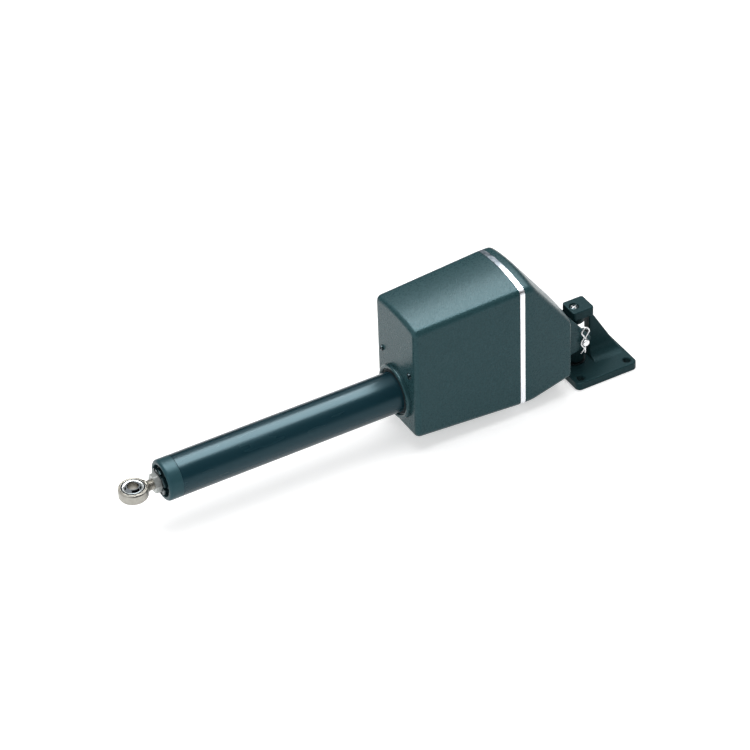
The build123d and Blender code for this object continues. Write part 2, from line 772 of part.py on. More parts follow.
# The clip's straight leg goes through the pin; the other wraps round it below a diamond loop
clip_tail, clip_top = 13.5, 20.2
clip_loop_half, clip_loop_z = 4.8, 14.0
clip_neck_x, clip_neck_z = -1.5, 7.4
clip_wrap = pin_radius + clip_wire / 2 + 0.2
with BuildPart() as pin_clip:
    with BuildLine(Plane.XZ.offset(-clip_y)) as clip_path:
        leg = Line((0, clevis_z - clip_tail), (0, clevis_z + pin_radius + 1.0))
        Spline(
            leg @ 1,
            (-clip_neck_x / 3, clevis_z + clip_neck_z),
            (clip_loop_half, clevis_z + clip_loop_z),
            (0, clevis_z + clip_top),
            (-clip_loop_half, clevis_z + clip_loop_z),
            (clip_neck_x, clevis_z + clip_neck_z),
            (-clip_wrap, clevis_z),
            (clip_neck_x, clevis_z - clip_neck_z),
            (-clip_loop_half - 0.6, clevis_z - clip_tail + 0.9),
        )
    with BuildSketch(Plane(origin=leg @ 0, z_dir=leg % 0)):
        Circle(clip_wire / 2)
    sweep(path=clip_path.wires()[0])
keep("pin_clip", pin_clip.part)

# Swivel block between the ears, with its bushes
block_half_width = ear_gap_half - face_gap
knuckle_radius = 8.0
clevis_bush_wall = 1.5
washer_od = 26.0
washer_thickness = 2.0
block_floor = foot_thickness + washer_thickness + face_gap
block_body_radius, block_body_top = 11.0, 44.0
column_depth, column_width, column_floor = 8.5, 20.0, 28.0
block_top = arm_underside - face_gap
boss_height = 6.0
boss_radius = 12.0
pivot_bush_wall = 1.5
lower_bush_wall = 2.0
lower_pin_top = 32.0
pin_room = 1.0
with BuildPart() as swivel_block:
    with BuildSketch(Plane.XY.offset(block_floor)):
        Circle(block_body_radius)
    extrude(amount=block_body_top - block_floor)
    with BuildSketch(Plane.XZ.offset(-block_half_width)):
        with Locations((0, clevis_z)):
            Circle(knuckle_radius)
    extrude(amount=2 * block_half_width)
    with BuildSketch(Plane.XY.offset(column_floor)):
        with Locations((-boss_radius + column_depth / 2, 0)):
            Rectangle(column_depth, column_width)
    extrude(amount=block_top - column_floor)
    with BuildSketch(Plane.XY.offset(block_top - boss_height)):
        Circle(boss_radius)
    extrude(amount=boss_height)
    with BuildSketch(Plane.XZ.offset(-block_half_width)):
        with Locations((0, clevis_z)):
            Circle(pin_radius + clevis_bush_wall + seat_gap)
    extrude(amount=2 * block_half_width, mode=Mode.SUBTRACT)
    with BuildSketch(Plane.XY.offset(block_top - boss_height)):
        Circle(pivot_screw_od / 2 + pivot_bush_wall + seat_gap)
    extrude(amount=boss_height, mode=Mode.SUBTRACT)
    with BuildSketch(Plane.XY.offset(block_floor)):
        Circle(pivot_pin_od / 2 + lower_bush_wall + seat_gap)
    extrude(amount=lower_pin_top + pin_room - block_floor, mode=Mode.SUBTRACT)
keep("swivel_block", swivel_block.part)


def upright_ring(name, floor, height, outer, inner):
    """Ring round the vertical pivot axis."""
    with BuildPart() as ring:
        with BuildSketch(Plane.XY.offset(floor)):
            Circle(outer)
            Circle(inner, mode=Mode.SUBTRACT)
        extrude(amount=height)
    keep(name, ring.part)


upright_ring(
    "upper_pivot_bush", block_top - boss_height, boss_height, pivot_screw_od / 2 + pivot_bush_wall,
    pivot_screw_od / 2 + running_gap,
)
upright_ring(
    "lower_pivot_bush", block_floor, lower_pin_top - block_floor, pivot_pin_od / 2 + lower_bush_wall,
    pivot_pin_od / 2 + running_gap,
)
upright_ring("thrust_washer", foot_thickness, washer_thickness, washer_od / 2, pivot_pin_od / 2 + seat_gap)
with BuildPart() as clevis_bush:
    with BuildSketch(Plane.XZ.offset(-block_half_width)):
        with Locations((0, clevis_z)):
            Circle(pin_radius + clevis_bush_wall)
            Circle(pin_radius + running_gap, mode=Mode.SUBTRACT)
    extrude(amount=2 * block_half_width)
keep("clevis_bush", clevis_bush.part)

# Mounting foot: base plate, flared web and overhanging arm in one casting
pin_floor = 1.5
screw_head_od, screw_head_height = 10.0, 4.0
screw_recess = 4.5
with BuildPart() as mounting_foot:
    with BuildSketch(Plane.YZ.offset(web_inner_x)):
        with BuildLine():
            Line((-web_half_thickness, arm_underside + 1), (web_half_thickness, arm_underside + 1))
            Line((web_half_thickness, arm_underside + 1), (web_half_thickness, foot_thickness + web_flare))
            RadiusArc(
                (web_half_thickness, foot_thickness + web_flare),
                (web_half_thickness + web_flare, foot_thickness),
                -web_flare,
            )
            Polyline(
                (web_half_thickness + web_flare, foot_thickness),
                (web_half_thickness + web_flare, foot_thickness - 1),
                (-web_half_thickness - web_flare, foot_thickness - 1),
                (-web_half_thickness - web_flare, foot_thickness),
            )
            RadiusArc(
                (-web_half_thickness - web_flare, foot_thickness),
                (-web_half_thickness, foot_thickness + web_flare),
                -web_flare,
            )
            Line((-web_half_thickness, foot_thickness + web_flare), (-web_half_thickness, arm_underside + 1))
        make_face()
    extrude(amount=web_toe_x - web_inner_x)
    with BuildSketch(Plane.XZ):
        with BuildLine():
            Polyline(
                (web_inner_x, foot_thickness - 1),
                (web_toe_x, foot_thickness - 1),
                (web_toe_x, foot_thickness),
                (arm_rear_x, arm_underside),
                (arm_rear_x, arm_underside + 1),
                (web_inner_x, arm_underside + 1),
                close=True,
            )
        make_face()
    extrude(amount=foot_width / 2, both=True, mode=Mode.INTERSECT)
    with BuildSketch(Plane.XY):
        with Locations((foot_centre_x, 0)):
            RectangleRounded(foot_length, foot_width, 6.0)
    extrude(amount=foot_thickness)
    with BuildSketch(Plane.XY.offset(arm_underside)):
        with Locations(((arm_front_x + arm_rear_x) / 2, 0)):
            RectangleRounded(arm_rear_x - arm_front_x, 2 * arm_half_width, 3.0)
    extrude(amount=arm_thickness)
    with BuildSketch(Plane.XY):
        with Locations((foot_centre_x, 0)):
            with GridLocations(foot_hole_pitch_x, foot_hole_pitch_y, 2, 2):
                Circle(foot_hole_od / 2)
    extrude(amount=foot_thickness, mode=Mode.SUBTRACT)
    with BuildSketch(Plane.XY.offset(pin_floor)):
        Circle(pivot_pin_od / 2 + seat_gap)
    extrude(amount=foot_thickness - pin_floor, mode=Mode.SUBTRACT)
    with BuildSketch(Plane.XY.offset(arm_underside)):
        Circle(pivot_screw_od / 2 + seat_gap)
    extrude(amount=arm_thickness, mode=Mode.SUBTRACT)
    with BuildSketch(Plane.XY.offset(arm_top)):
        Circle(screw_head_od / 2 + 0.4)
    extrude(amount=-screw_recess, mode=Mode.SUBTRACT)
keep("mounting_foot", mounting_foot.part)

# Lower pivot pin pressed into the plate, and the pivot screw down through the arm
with BuildPart() as lower_pivot_pin:
    with BuildSketch(Plane.XY.offset(pin_floor)):
        Circle(pivot_pin_od / 2)
    extrude(amount=lower_pin_top - pin_floor)
    chamfer(lower_pivot_pin.edges().filter_by(GeomType.CIRCLE).sort_by(Axis.Z)[-1], 1.0)
keep("lower_pivot_pin", lower_pivot_pin.part)
with BuildPart() as pivot_screw:
    with BuildSketch(Plane.XY.offset(arm_top - screw_recess)):
        Circle(screw_head_od / 2)
    extrude(amount=screw_head_height)
    with BuildSketch(Plane.XY.offset(block_top - boss_height + 0.5)):
        Circle(pivot_screw_od / 2)
    extrude(amount=arm_top - screw_recess - block_top + boss_height - 0.5)
    with BuildSketch(Plane.XY.offset(arm_top - screw_recess + screw_head_height)):
        Rectangle(1.6, 7.0)
        Rectangle(7.0, 1.6)
    extrude(amount=-2.2, mode=Mode.SUBTRACT)
keep("pivot_screw", pivot_screw.part)

os.makedirs("parts", exist_ok=True)
for name, piece in pieces.items():
    export_step(piece, f"parts/{name}.step")
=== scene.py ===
"""Looks of the autopilot linear drive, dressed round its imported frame.

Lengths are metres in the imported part's own frame: the origin is on the vertical pivot axis at the
underside of the foot, +X runs from the rod end towards the foot, and +Z is up.
"""

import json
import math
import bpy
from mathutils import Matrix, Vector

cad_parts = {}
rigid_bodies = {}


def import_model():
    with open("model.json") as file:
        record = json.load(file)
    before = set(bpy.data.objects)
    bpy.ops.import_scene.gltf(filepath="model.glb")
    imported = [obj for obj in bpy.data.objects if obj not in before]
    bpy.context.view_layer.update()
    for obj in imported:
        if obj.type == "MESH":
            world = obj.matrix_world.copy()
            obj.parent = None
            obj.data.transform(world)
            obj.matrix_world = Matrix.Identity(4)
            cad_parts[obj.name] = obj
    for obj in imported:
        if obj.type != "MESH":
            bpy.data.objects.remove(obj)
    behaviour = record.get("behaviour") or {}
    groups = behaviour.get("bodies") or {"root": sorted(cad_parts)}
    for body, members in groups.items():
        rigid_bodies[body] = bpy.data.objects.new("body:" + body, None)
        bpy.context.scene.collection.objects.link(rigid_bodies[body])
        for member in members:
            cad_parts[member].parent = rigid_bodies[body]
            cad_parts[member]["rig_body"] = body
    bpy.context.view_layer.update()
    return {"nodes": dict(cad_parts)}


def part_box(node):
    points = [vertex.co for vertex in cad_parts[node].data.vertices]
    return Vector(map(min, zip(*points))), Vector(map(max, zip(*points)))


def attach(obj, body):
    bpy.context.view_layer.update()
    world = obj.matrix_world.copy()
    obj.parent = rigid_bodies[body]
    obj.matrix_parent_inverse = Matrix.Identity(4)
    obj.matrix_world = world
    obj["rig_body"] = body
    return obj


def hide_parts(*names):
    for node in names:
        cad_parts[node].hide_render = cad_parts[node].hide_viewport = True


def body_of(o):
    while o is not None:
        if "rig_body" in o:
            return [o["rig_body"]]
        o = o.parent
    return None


bl_info = {
    "name": "Autopilot linear drive",
    "version": (1, 0, 0),
    "blender": (4, 5, 0),
    "location": "3D View > Sidebar > Linear drive",
    "description": "Builds the visible pieces, finishes and studio of an autopilot linear drive",
    "category": "Object",
}

import bmesh
import bpy
import numpy as np
from bpy.props import FloatProperty, FloatVectorProperty, IntProperty, PointerProperty
from bpy.types import Operator, Panel, PropertyGroup
from mathutils import Matrix, Vector

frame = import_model()

MM = 0.001
TURN = 2 * math.pi
AXES = {"X": (0, 1, 2), "Y": (1, 2, 0), "Z": (2, 0, 1)}
HEXAGON_SIDE = TURN / 6

# Points of one shell that lie closer than this are one point
WELD = 2e-7


def low(node):
    """Lower corner of a node's box."""
    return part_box(node)[0]


def high(node):
    """Upper corner of a node's box."""
    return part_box(node)[1]


def middle(node):
    """Centre of a node's box."""
    return (low(node) + high(node)) / 2


# Places taken from the frame
THRUST_Z = middle("outer_tube").z
EYE_X = middle("rod_end_ball").x
PIN_Z = middle("clevis_pin").z
FRONT_X, SEAM_X = low("front_cover").x, low("chassis_plate").x
PLATE_REAR_X = high("chassis_plate").x
SEAM_HALF_WIDTH = high("chassis_plate").y
SEAM_FLOOR = low("chassis_plate").z - THRUST_Z
SEAM_TOP = high("chassis_plate").z - THRUST_Z
THRUST_LINE = (0.0, 0.0, THRUST_Z)
PIVOT_LINE = (0.0, 0.0, 0.0)

# Places that several pieces share: where the casing starts to slope, its rear wall, and how far the
# collar reaches over the front cover
SHOULDER_X = -80.0 * MM
REAR_WALL_X = -30.0 * MM
COLLAR_LIP = 4.0 * MM


def length(name, millimetres, description):
    """A length property given in millimetres and kept in metres."""
    return FloatProperty(name=name, description=description, default=millimetres * MM, min=0.0, unit="LENGTH")


def place(name, millimetres, description):
    """A coordinate property given in millimetres and kept in metres."""
    return FloatProperty(name=name, description=description, default=millimetres * MM, unit="LENGTH")


def angle_of(name, degrees, description):
    """An angle property given in degrees and kept in radians."""
    return FloatProperty(name=name, description=description, default=math.radians(degrees), subtype="ANGLE")


def power(name, watts, description):
    """A lamp's power."""
    return FloatProperty(name=name, description=description, default=watts, min=0.0, unit="POWER")


def colour(name, red, green, blue, description):
    """A linear colour property."""
    return FloatVectorProperty(
        name=name, description=description, default=(red, green, blue), min=0.0, max=1.0, size=3,
        subtype="COLOR",
    )


class HousingSizes(PropertyGroup):
    """Sizes of the drafted front cover, the rear casing and the plate between them."""

    front_half_width: length("Front half width", 41.5, "Half width of the front cover at its front face")
    front_floor: length("Front floor", 40.6, "Depth of the front face below the thrust line")
    front_shoulder: length("Front shoulder", 102.0, "Height of the front corners above the thrust line")
    front_crown: length("Front crown", 4.0, "Rise of the bowed top over its corners at the front")
    seam_crown: length("Seam crown", 6.0, "Rise of the bowed top over its corners at the seam")
    tail_half_width: length("Tail half width", 43.0, "Half width of the casing at its tail")
    tail_floor: length("Tail floor", 36.0, "Depth of the tail below the thrust line")
    tail_shoulder: length("Tail shoulder", 41.0, "Height of the tail's corners above the thrust line")
    tail_crown: length("Tail crown", 5.0, "Rise of the bowed top at the tail")
    corner_radius: length("Corner radius", 8.0, "Round of the four long corners")
    front_round: length("Front round", 6.0, "Round of the front face's rim")
    tail_round: length("Tail round", 3.0, "Round of the tail's rim")
    shoulder_run: length("Shoulder run", 4.5, "Half length of the bend where the casing starts to slope")
    cover_wall: length("Cover wall", 3.0, "Wall of the front cover")
    casing_wall: length("Casing wall", 3.5, "Wall of the rear casing")
    seam_break: length("Seam break", 1.0, "Round of the edges at the seam")
    ear_radius: length("Ear radius", 9.0, "Radius of the clevis ears round the pin")
    ear_top: length("Ear top", 43.0, "Height of an ear's root above the thrust line")
    ear_floor: length("Ear floor", 30.0, "Depth of an ear's root below the thrust line")
    ear_gap_half: length("Ear gap half", 15.2, "Distance from the middle to an ear's inner face")
    ear_thickness: length("Ear thickness", 5.0, "Thickness of a clevis ear")


class TubeSizes(PropertyGroup):
    """Sizes of the thrust tube, its cap, the collar and the push rod."""

    tube_wall: length("Tube wall", 2.5, "Wall of the thrust tube")
    cap_round: length("Cap round", 3.2, "Round of the end cap's rim")
    cap_mouth: length("Cap mouth", 36.0, "Diameter of the cap's recess")
    collar_bead: length("Collar bead", 2.1, "Radius of the collar's rolled bead")
    plug_slot: length("Plug slot", 4.0, "Width and depth of the plug's slots")
    plug_slots: IntProperty(name="Plug slots", description="Number of slots in the plug", default=6, min=2)
    rod_radius: length("Rod radius", 15.0, "Radius of the push rod")
    thread_radius: length("Thread radius", 6.0, "Outer radius of the rod end's thread")
    thread_pitch: length("Thread pitch", 1.75, "Pitch of the rod end's thread")


class FootSizes(PropertyGroup):
    """Sizes of the mounting foot and the swivel."""

    plate_thickness: length("Plate thickness", 10.0, "Thickness of the foot's plate")
    plate_corner: length("Plate corner", 6.0, "Radius of the plate's corners")
    hole_radius: length("Hole radius", 4.5, "Radius of the bolt holes")
    hole_pitch_x: length("Hole pitch X", 60.0, "Distance between bolt holes along the drive")
    hole_pitch_y: length("Hole pitch Y", 66.0, "Distance between bolt holes across the drive")
    arm_front_x: length("Arm reach", 8.0, "Reach of the arm in front of the pivot axis")
    arm_rear_x: length("Arm rear", 18.5, "Rear end of the arm behind the pivot axis")
    arm_half_width: length("Arm half width", 12.5, "Half width of the arm")
    arm_thickness: length("Arm thickness", 11.0, "Thickness of the arm")
    web_front_x: length("Web front", 16.5, "Front face of the web behind the pivot axis")
    web_toe_x: length("Web toe", 54.0, "Rear end of the web on the plate")
    web_half: length("Web half thickness", 6.0, "Half thickness of the web")
    web_flare: length("Web flare", 14.0, "Radius of the flare between web and plate")
    edge: length("Edge round", 1.2, "Round of the casting's edges")
    clip_wire: length("Clip wire", 0.9, "Radius of the spring clip's wire")


class FinishColours(PropertyGroup):
    """Colours of the drive's finishes."""

    paint: colour("Paint", 0.016, 0.048, 0.054, "Textured paint of covers and foot")
    paint_fleck: colour("Paint fleck", 0.026, 0.066, 0.074, "Lighter grain of the textured paint")
    casting: colour("Casting", 0.009, 0.03, 0.034, "Paint of the foot's and the swivel's castings")
    # Painted shade: the swivel block is darkened to stand for the shade under the arm
    swivel: colour("Swivel", 0.005, 0.017, 0.019, "Darker paint of the swivel block")
    casting_fleck: colour("Casting fleck", 0.015, 0.042, 0.048, "Lighter grain of the castings' paint")
    tube: colour("Tube", 0.0065, 0.027, 0.037, "Gloss paint of the thrust tube")
    cap: colour("Cap", 0.02, 0.058, 0.07, "Satin paint of the tube's end cap")
    gloss_tint: colour("Gloss tint", 0.62, 0.9, 1.0, "Tint of the paints' reflections")
    aluminium: colour("Aluminium", 0.86, 0.88, 0.92, "Bare edge of the chassis plate")
    # Painted shade: the plate's top edge is darkened toward this colour, most toward the far side
    aluminium_top_shade: colour("Dull aluminium", 0.16, 0.19, 0.22, "Tarnish on the plate's top edge")
    zinc: colour("Zinc", 0.30, 0.31, 0.31, "Zinc plated fasteners")
    plated: colour("Plated", 0.74, 0.75, 0.76, "Bright plated pin, clip and pivot screw")
    matt_zinc: colour("Matt zinc", 0.34, 0.36, 0.35, "Dull plated lock nut")
    eye: colour("Eye", 0.32, 0.31, 0.28, "Forged rod-end housing")
    zinc_cloud: colour("Zinc cloud", 0.4, 0.41, 0.41, "Lighter clouds in the zinc plate")
    matt_zinc_cloud: colour("Matt zinc cloud", 0.44, 0.46, 0.45, "Lighter clouds on the lock nut")
    eye_cloud: colour("Eye cloud", 0.38, 0.37, 0.335, "Lighter clouds on the rod-end housing")
    chrome: colour("Chrome", 0.2, 0.22, 0.235, "Chromed ball")
    bore: colour("Bore", 0.34, 0.33, 0.3, "Honed bore of the ball")
    race: colour("Race", 0.36, 0.38, 0.38, "Turned insert of the rod end")
    black_oxide: colour("Black oxide", 0.004, 0.011, 0.013, "Oiled plug and screw heads")
    shafting: colour("Shafting", 0.42, 0.43, 0.44, "Ground shafts")
    blackened: colour("Blackened", 0.006, 0.012, 0.014, "Blackened screws and washer")
    blackened_rub: colour("Blackened rub", 0.03, 0.045, 0.05, "Rubbed patches of the blackened parts")
    bronze: colour("Bronze", 0.5, 0.33, 0.16, "Sintered bushes")
    bronze_pore: colour("Bronze pore", 0.3, 0.19, 0.09, "Pores of the sintered bushes")
    rubber: colour("Rubber", 0.007, 0.011, 0.013, "Seals and belt")
    rubber_bloom: colour("Rubber bloom", 0.016, 0.022, 0.025, "Bloom on the rubber")
    nylon: colour("Nylon", 0.016, 0.018, 0.02, "Cable gland")
    enamel: colour("Enamel", 0.045, 0.048, 0.052, "Motor can")
    phosphate: colour("Phosphate", 0.1, 0.1, 0.105, "Clutch shells")
    phosphate_dark: colour("Dark phosphate", 0.08, 0.08, 0.085, "Darker crystals on the clutch")
    phosphate_pale: colour("Pale phosphate", 0.16, 0.16, 0.165, "Paler crystals on the clutch")


class StudioSettings(PropertyGroup):
    """Camera and lamps."""

    azimuth: angle_of("Azimuth", -28.49, "Camera's turn round the drive")
    elevation: angle_of("Elevation", 38.31, "Camera's height as an angle")
    roll: angle_of("Roll", -2.24, "Camera's turn about its own line of sight")
    distance: length("Distance", 3715.4, "Camera's distance from its target")
    target_x: place("Target X", -249.84, "Camera's target along the drive")
    target_z: place("Target Z", 91.83, "Camera's target height")
    lens: FloatProperty(
        name="Lens", description="Focal length on a 36 mm sensor, in mm", default=168.0, min=1.0,
        unit="CAMERA",
    )
    room_light: FloatProperty(
        name="Room light", description="Strength of the even light from all sides", default=0.4, min=0.0
    )
    key_light: power("Key light", 14.0, "Power of the overhead softbox")
    sheen_light: power("Sheen light", 52.0, "Power of the softbox seen only in gloss")
    fill_light: power("Fill light", 10.5, "Power of the front fill")


def housing_sizes():
    """Sizes of the housing, as set on the scene."""
    return bpy.context.scene.drive_housing


def tube_sizes():
    """Sizes of the tube and the rod, as set on the scene."""
    return bpy.context.scene.drive_tube


def foot_sizes():
    """Sizes of the foot, as set on the scene."""
    return bpy.context.scene.drive_foot


def finish_colours():
    """Colours of the finishes, as set on the scene."""
    return bpy.context.scene.drive_colours


# Curves

def rounded(corners, radius, closed=True, steps=5):
    """Outline with rounded corners, and its outward normals.

    Each corner becomes an arc that starts radius * tan(turn / 2) before it. An arc's points are its
    centre plus the radius along normals that turn evenly from one side's to the next's. The corners
    run anticlockwise. An open outline keeps its two end points.
    """
    corner = np.asarray(corners, float)
    arriving = corner - np.roll(corner, 1, 0)
    leaving = np.roll(arriving, -1, 0)
    heading = np.arctan2(arriving[:, 1], arriving[:, 0])
    turn = (np.arctan2(leaving[:, 1], leaving[:, 0]) - heading + math.pi) % TURN - math.pi
    size = np.broadcast_to(np.asarray(radius, float), turn.shape) * np.sign(turn)
    start = corner - np.stack([np.cos(heading), np.sin(heading)], 1) * (size * np.tan(turn / 2))[:, None]
    centre = start + np.stack([-np.sin(heading), np.cos(heading)], 1) * size[:, None]
    angle = heading[:, None] + turn[:, None] * np.linspace(0, 1, steps + 1)
    normal = np.stack([np.sin(angle), -np.cos(angle)], -1)
    points = centre[:, None] + normal * size[:, None, None]
    if closed:
        return points.reshape(-1, 2), normal.reshape(-1, 2)
    middle_points = points[1:-1].reshape(-1, 2)
    return np.vstack([corner[:1], middle_points, corner[-1:]]), normal[1:-1].reshape(-1, 2)


def rectangle(left, floor, right, top):
    """Corners of a rectangle, anticlockwise."""
    return [(left, floor), (right, floor), (right, top), (left, top)]


def eased(corners, closed=True, steps=5):
    """Outline through corners of (station, reach, radius), each rounded to its radius."""
    corner = np.asarray(corners, float)
    return rounded(corner[:, :2], corner[:, 2], closed, steps)[0]


def smooth_path(knots, steps=10):
    """Cubic curve through the knots: on each stretch a Hermite blend of its two ends and of the slopes
    there, which are half the step from the knot before to the knot after."""
    knot = np.asarray(knots, float)
    padded = np.vstack([2 * knot[0] - knot[1], knot, 2 * knot[-1] - knot[-2]])
    slope = (padded[2:] - padded[:-2]) / 2
    share = np.linspace(0, 1, steps, endpoint=False)[None, :, None]
    begin, end = knot[:-1, None], knot[1:, None]
    curve = (
        begin * (2 * share**3 - 3 * share**2 + 1) + slope[:-1, None] * (share**3 - 2 * share**2 + share)
        + end * (3 * share**2 - 2 * share**3) + slope[1:, None] * (share**3 - share**2)
    )
    return np.vstack([curve.reshape(-1, knot.shape[1]), knot[-1:]])


def rounds(start, end, radius, steps=4):
    """Stations and insets of the two quarter rounds between a slab's faces and its side: at angle a the
    station is radius times 1 - cos a from its face, and the inset is radius times 1 - sin a."""
    angle = np.linspace(0, math.pi / 2, steps + 1)
    depth, inset = radius * (1 - np.cos(angle)), radius * (1 - np.sin(angle))
    toward = math.copysign(1, end - start)
    first = np.stack([start + toward * depth, inset], 1)
    last = np.stack([end - toward * depth, inset], 1)[::-1]
    return first, last


def slab(start, end, radius, steps=4):
    """Stations and insets of a slab with such rounds at both rims."""
    return np.vstack(rounds(start, end, radius, steps))


# Surfaces: arrays of points, a row for each station and a column for each place round it

def placed(axis, along, first, second):
    """Points from a place along an axis and two places across it, broadcast to one grid."""
    points = np.empty(np.broadcast(along, first, second).shape + (3,))
    for slot_index, value in zip(AXES[axis], (along, first, second)):
        points[..., slot_index] = value
    return points


def around(axis, centre, station, reach, angle):
    """Points round an axis through the centre: reach * cos a and reach * sin a across it."""
    return placed(axis, station, reach * np.cos(angle), reach * np.sin(angle)) + np.asarray(centre)


def turned(axis, centre, profile, segments=96):
    """Surface of revolution: each (station, radius) of the profile is a circle of that radius there."""
    station, radius = np.asarray(profile, float).T[:, :, None]
    return around(axis, centre, station, radius, np.linspace(0, TURN, segments, endpoint=False))


def ring_profile(start, end, outer, inner, edge=0.3 * MM):
    """Closed profile of a plain ring with four broken edges."""
    return rounded(rectangle(start, inner, end, outer), edge, steps=3)[0]


def bar_profile(start, end, radius, edge):
    """Open profile of a plain round bar with two rounded rims."""
    station, inset = slab(start, end, edge).T
    return np.stack([station, radius - inset], 1)


def carried(axis, centre, outline, profile):
    """Outline carried along a profile of (station, inset): at each station its points stand inset
    inside the outline along their own normals."""
    points, normals = outline
    station, inset = np.asarray(profile, float).T[:, :, None]
    first = points[:, 0] - inset * normals[:, 0]
    second = points[:, 1] - inset * normals[:, 1]
    return placed(axis, station, first, second) + np.asarray(centre)


def wire(knots, radius, axis_y, segments=10, dome_rows=4):
    """Round wire along a flat path in XZ: a circle of the radius stands on the path's side normal and
    on Y, and the two ends close as half spheres, radius * cos a at radius * sin a past the end."""
    path = smooth_path(knots)
    heading = np.gradient(path, axis=0)
    heading /= np.linalg.norm(heading, axis=1)[:, None]
    dome = np.linspace(math.pi / 2, 0, dome_rows, endpoint=False)[:, None]
    head = path[0] - heading[0] * radius * np.sin(dome)
    tail = (path[-1] + heading[-1] * radius * np.sin(dome))[::-1]
    path = np.vstack([head, path, tail])
    heading = np.pad(heading, ((dome_rows, dome_rows), (0, 0)), "edge")
    size = np.ones(len(path)) * radius
    size[:dome_rows] = radius * np.cos(dome[:, 0])
    size[-dome_rows:] = size[:dome_rows][::-1]
    angle = np.linspace(0, TURN, segments, endpoint=False)
    out, across = size[:, None] * np.cos(angle), size[:, None] * np.sin(angle)
    return np.stack(
        [path[:, :1] - heading[:, 1:] * out, axis_y + across, path[:, 1:] + heading[:, :1] * out], -1
    )


def piece(name, body, shells, finishes, replaces=(), sharp=35.0):
    """Makes one mesh piece of closed shells.

    A shell is (grid, ends) or (grid, ends, finish number); ends is loop where the last row joins the
    first, and cap where the end rows are faces or meet in a pole.
    """
    whole = bmesh.new()
    for grid, ends, *rest in shells:
        rows, columns = grid.shape[:2]
        index = np.arange(rows * columns).reshape(rows, columns)
        if ends == "loop":
            index = np.vstack([index, index[:1]])
        index = np.hstack([index, index[:, :1]])
        quads = np.stack([index[:-1, :-1], index[:-1, 1:], index[1:, 1:], index[1:, :-1]], -1)
        faces = quads.reshape(-1, 4).tolist()
        if ends == "cap":
            faces += [index[0, :-1][::-1].tolist(), index[-1, :-1].tolist()]
        mesh = bpy.data.meshes.new(name)
        mesh.from_pydata(grid.reshape(-1, 3), [], faces)
        mesh.polygons.foreach_set("material_index", [rest[0] if rest else 0] * len(mesh.polygons))
        part = bmesh.new()
        part.from_mesh(mesh)
        bmesh.ops.remove_doubles(part, verts=part.verts, dist=WELD)
        bmesh.ops.recalc_face_normals(part, faces=part.faces)
        part.to_mesh(mesh)
        part.free()
        whole.from_mesh(mesh)
        bpy.data.meshes.remove(mesh)
    mesh = bpy.data.meshes.new(name)
    whole.to_mesh(mesh)
    whole.free()
    made = bpy.data.objects.new(name, mesh)
    bpy.context.scene.collection.objects.link(made)
    for finish in finishes:
        mesh.materials.append(finish)
    mesh.shade_smooth()
    mesh.set_sharp_from_angle(angle=math.radians(sharp))
    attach(made, body)
    if replaces:
        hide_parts(*replaces)
    return made


def even_shading(made):
    """Weights normals by face area, so that flat faces stay flat beside their rounds."""
    made.modifiers.new("Even shading", "WEIGHTED_NORMAL").keep_sharp = True


def drilled(made, cutters, sharp=35.0):
    """Cuts closed shells out of a piece, keeps the result as its mesh and removes the cutters."""
    tools = []
    for number, (grid, ends) in enumerate(cutters):
        tool = piece(f"cutter_{number}", frame_body(made), [(grid, ends)], [])
        cut = made.modifiers.new("Cut", "BOOLEAN")
        cut.operation, cut.solver, cut.object = "DIFFERENCE", "EXACT", tool
        tools.append(tool)
    bpy.context.view_layer.update()
    cut_mesh = bpy.data.meshes.new_from_object(made.evaluated_get(bpy.context.evaluated_depsgraph_get()))
    made.modifiers.clear()
    finishes = list(made.data.materials)
    made.data = cut_mesh
    made.data.materials.clear()
    for finish in finishes:
        made.data.materials.append(finish)
    made.data.set_sharp_from_angle(angle=math.radians(sharp))
    for tool in tools:
        bpy.data.objects.remove(tool)
    return made


def joined(made, added):
    """Puts the shells of a second piece into the first and removes the second."""
    both = bmesh.new()
    both.from_mesh(made.data)
    both.from_mesh(added.data)
    both.to_mesh(made.data)
    both.free()
    bpy.data.objects.remove(added)
    return made


def frame_body(made):
    """Body that a piece rides on."""
    return body_of(made)[0]


# Finishes

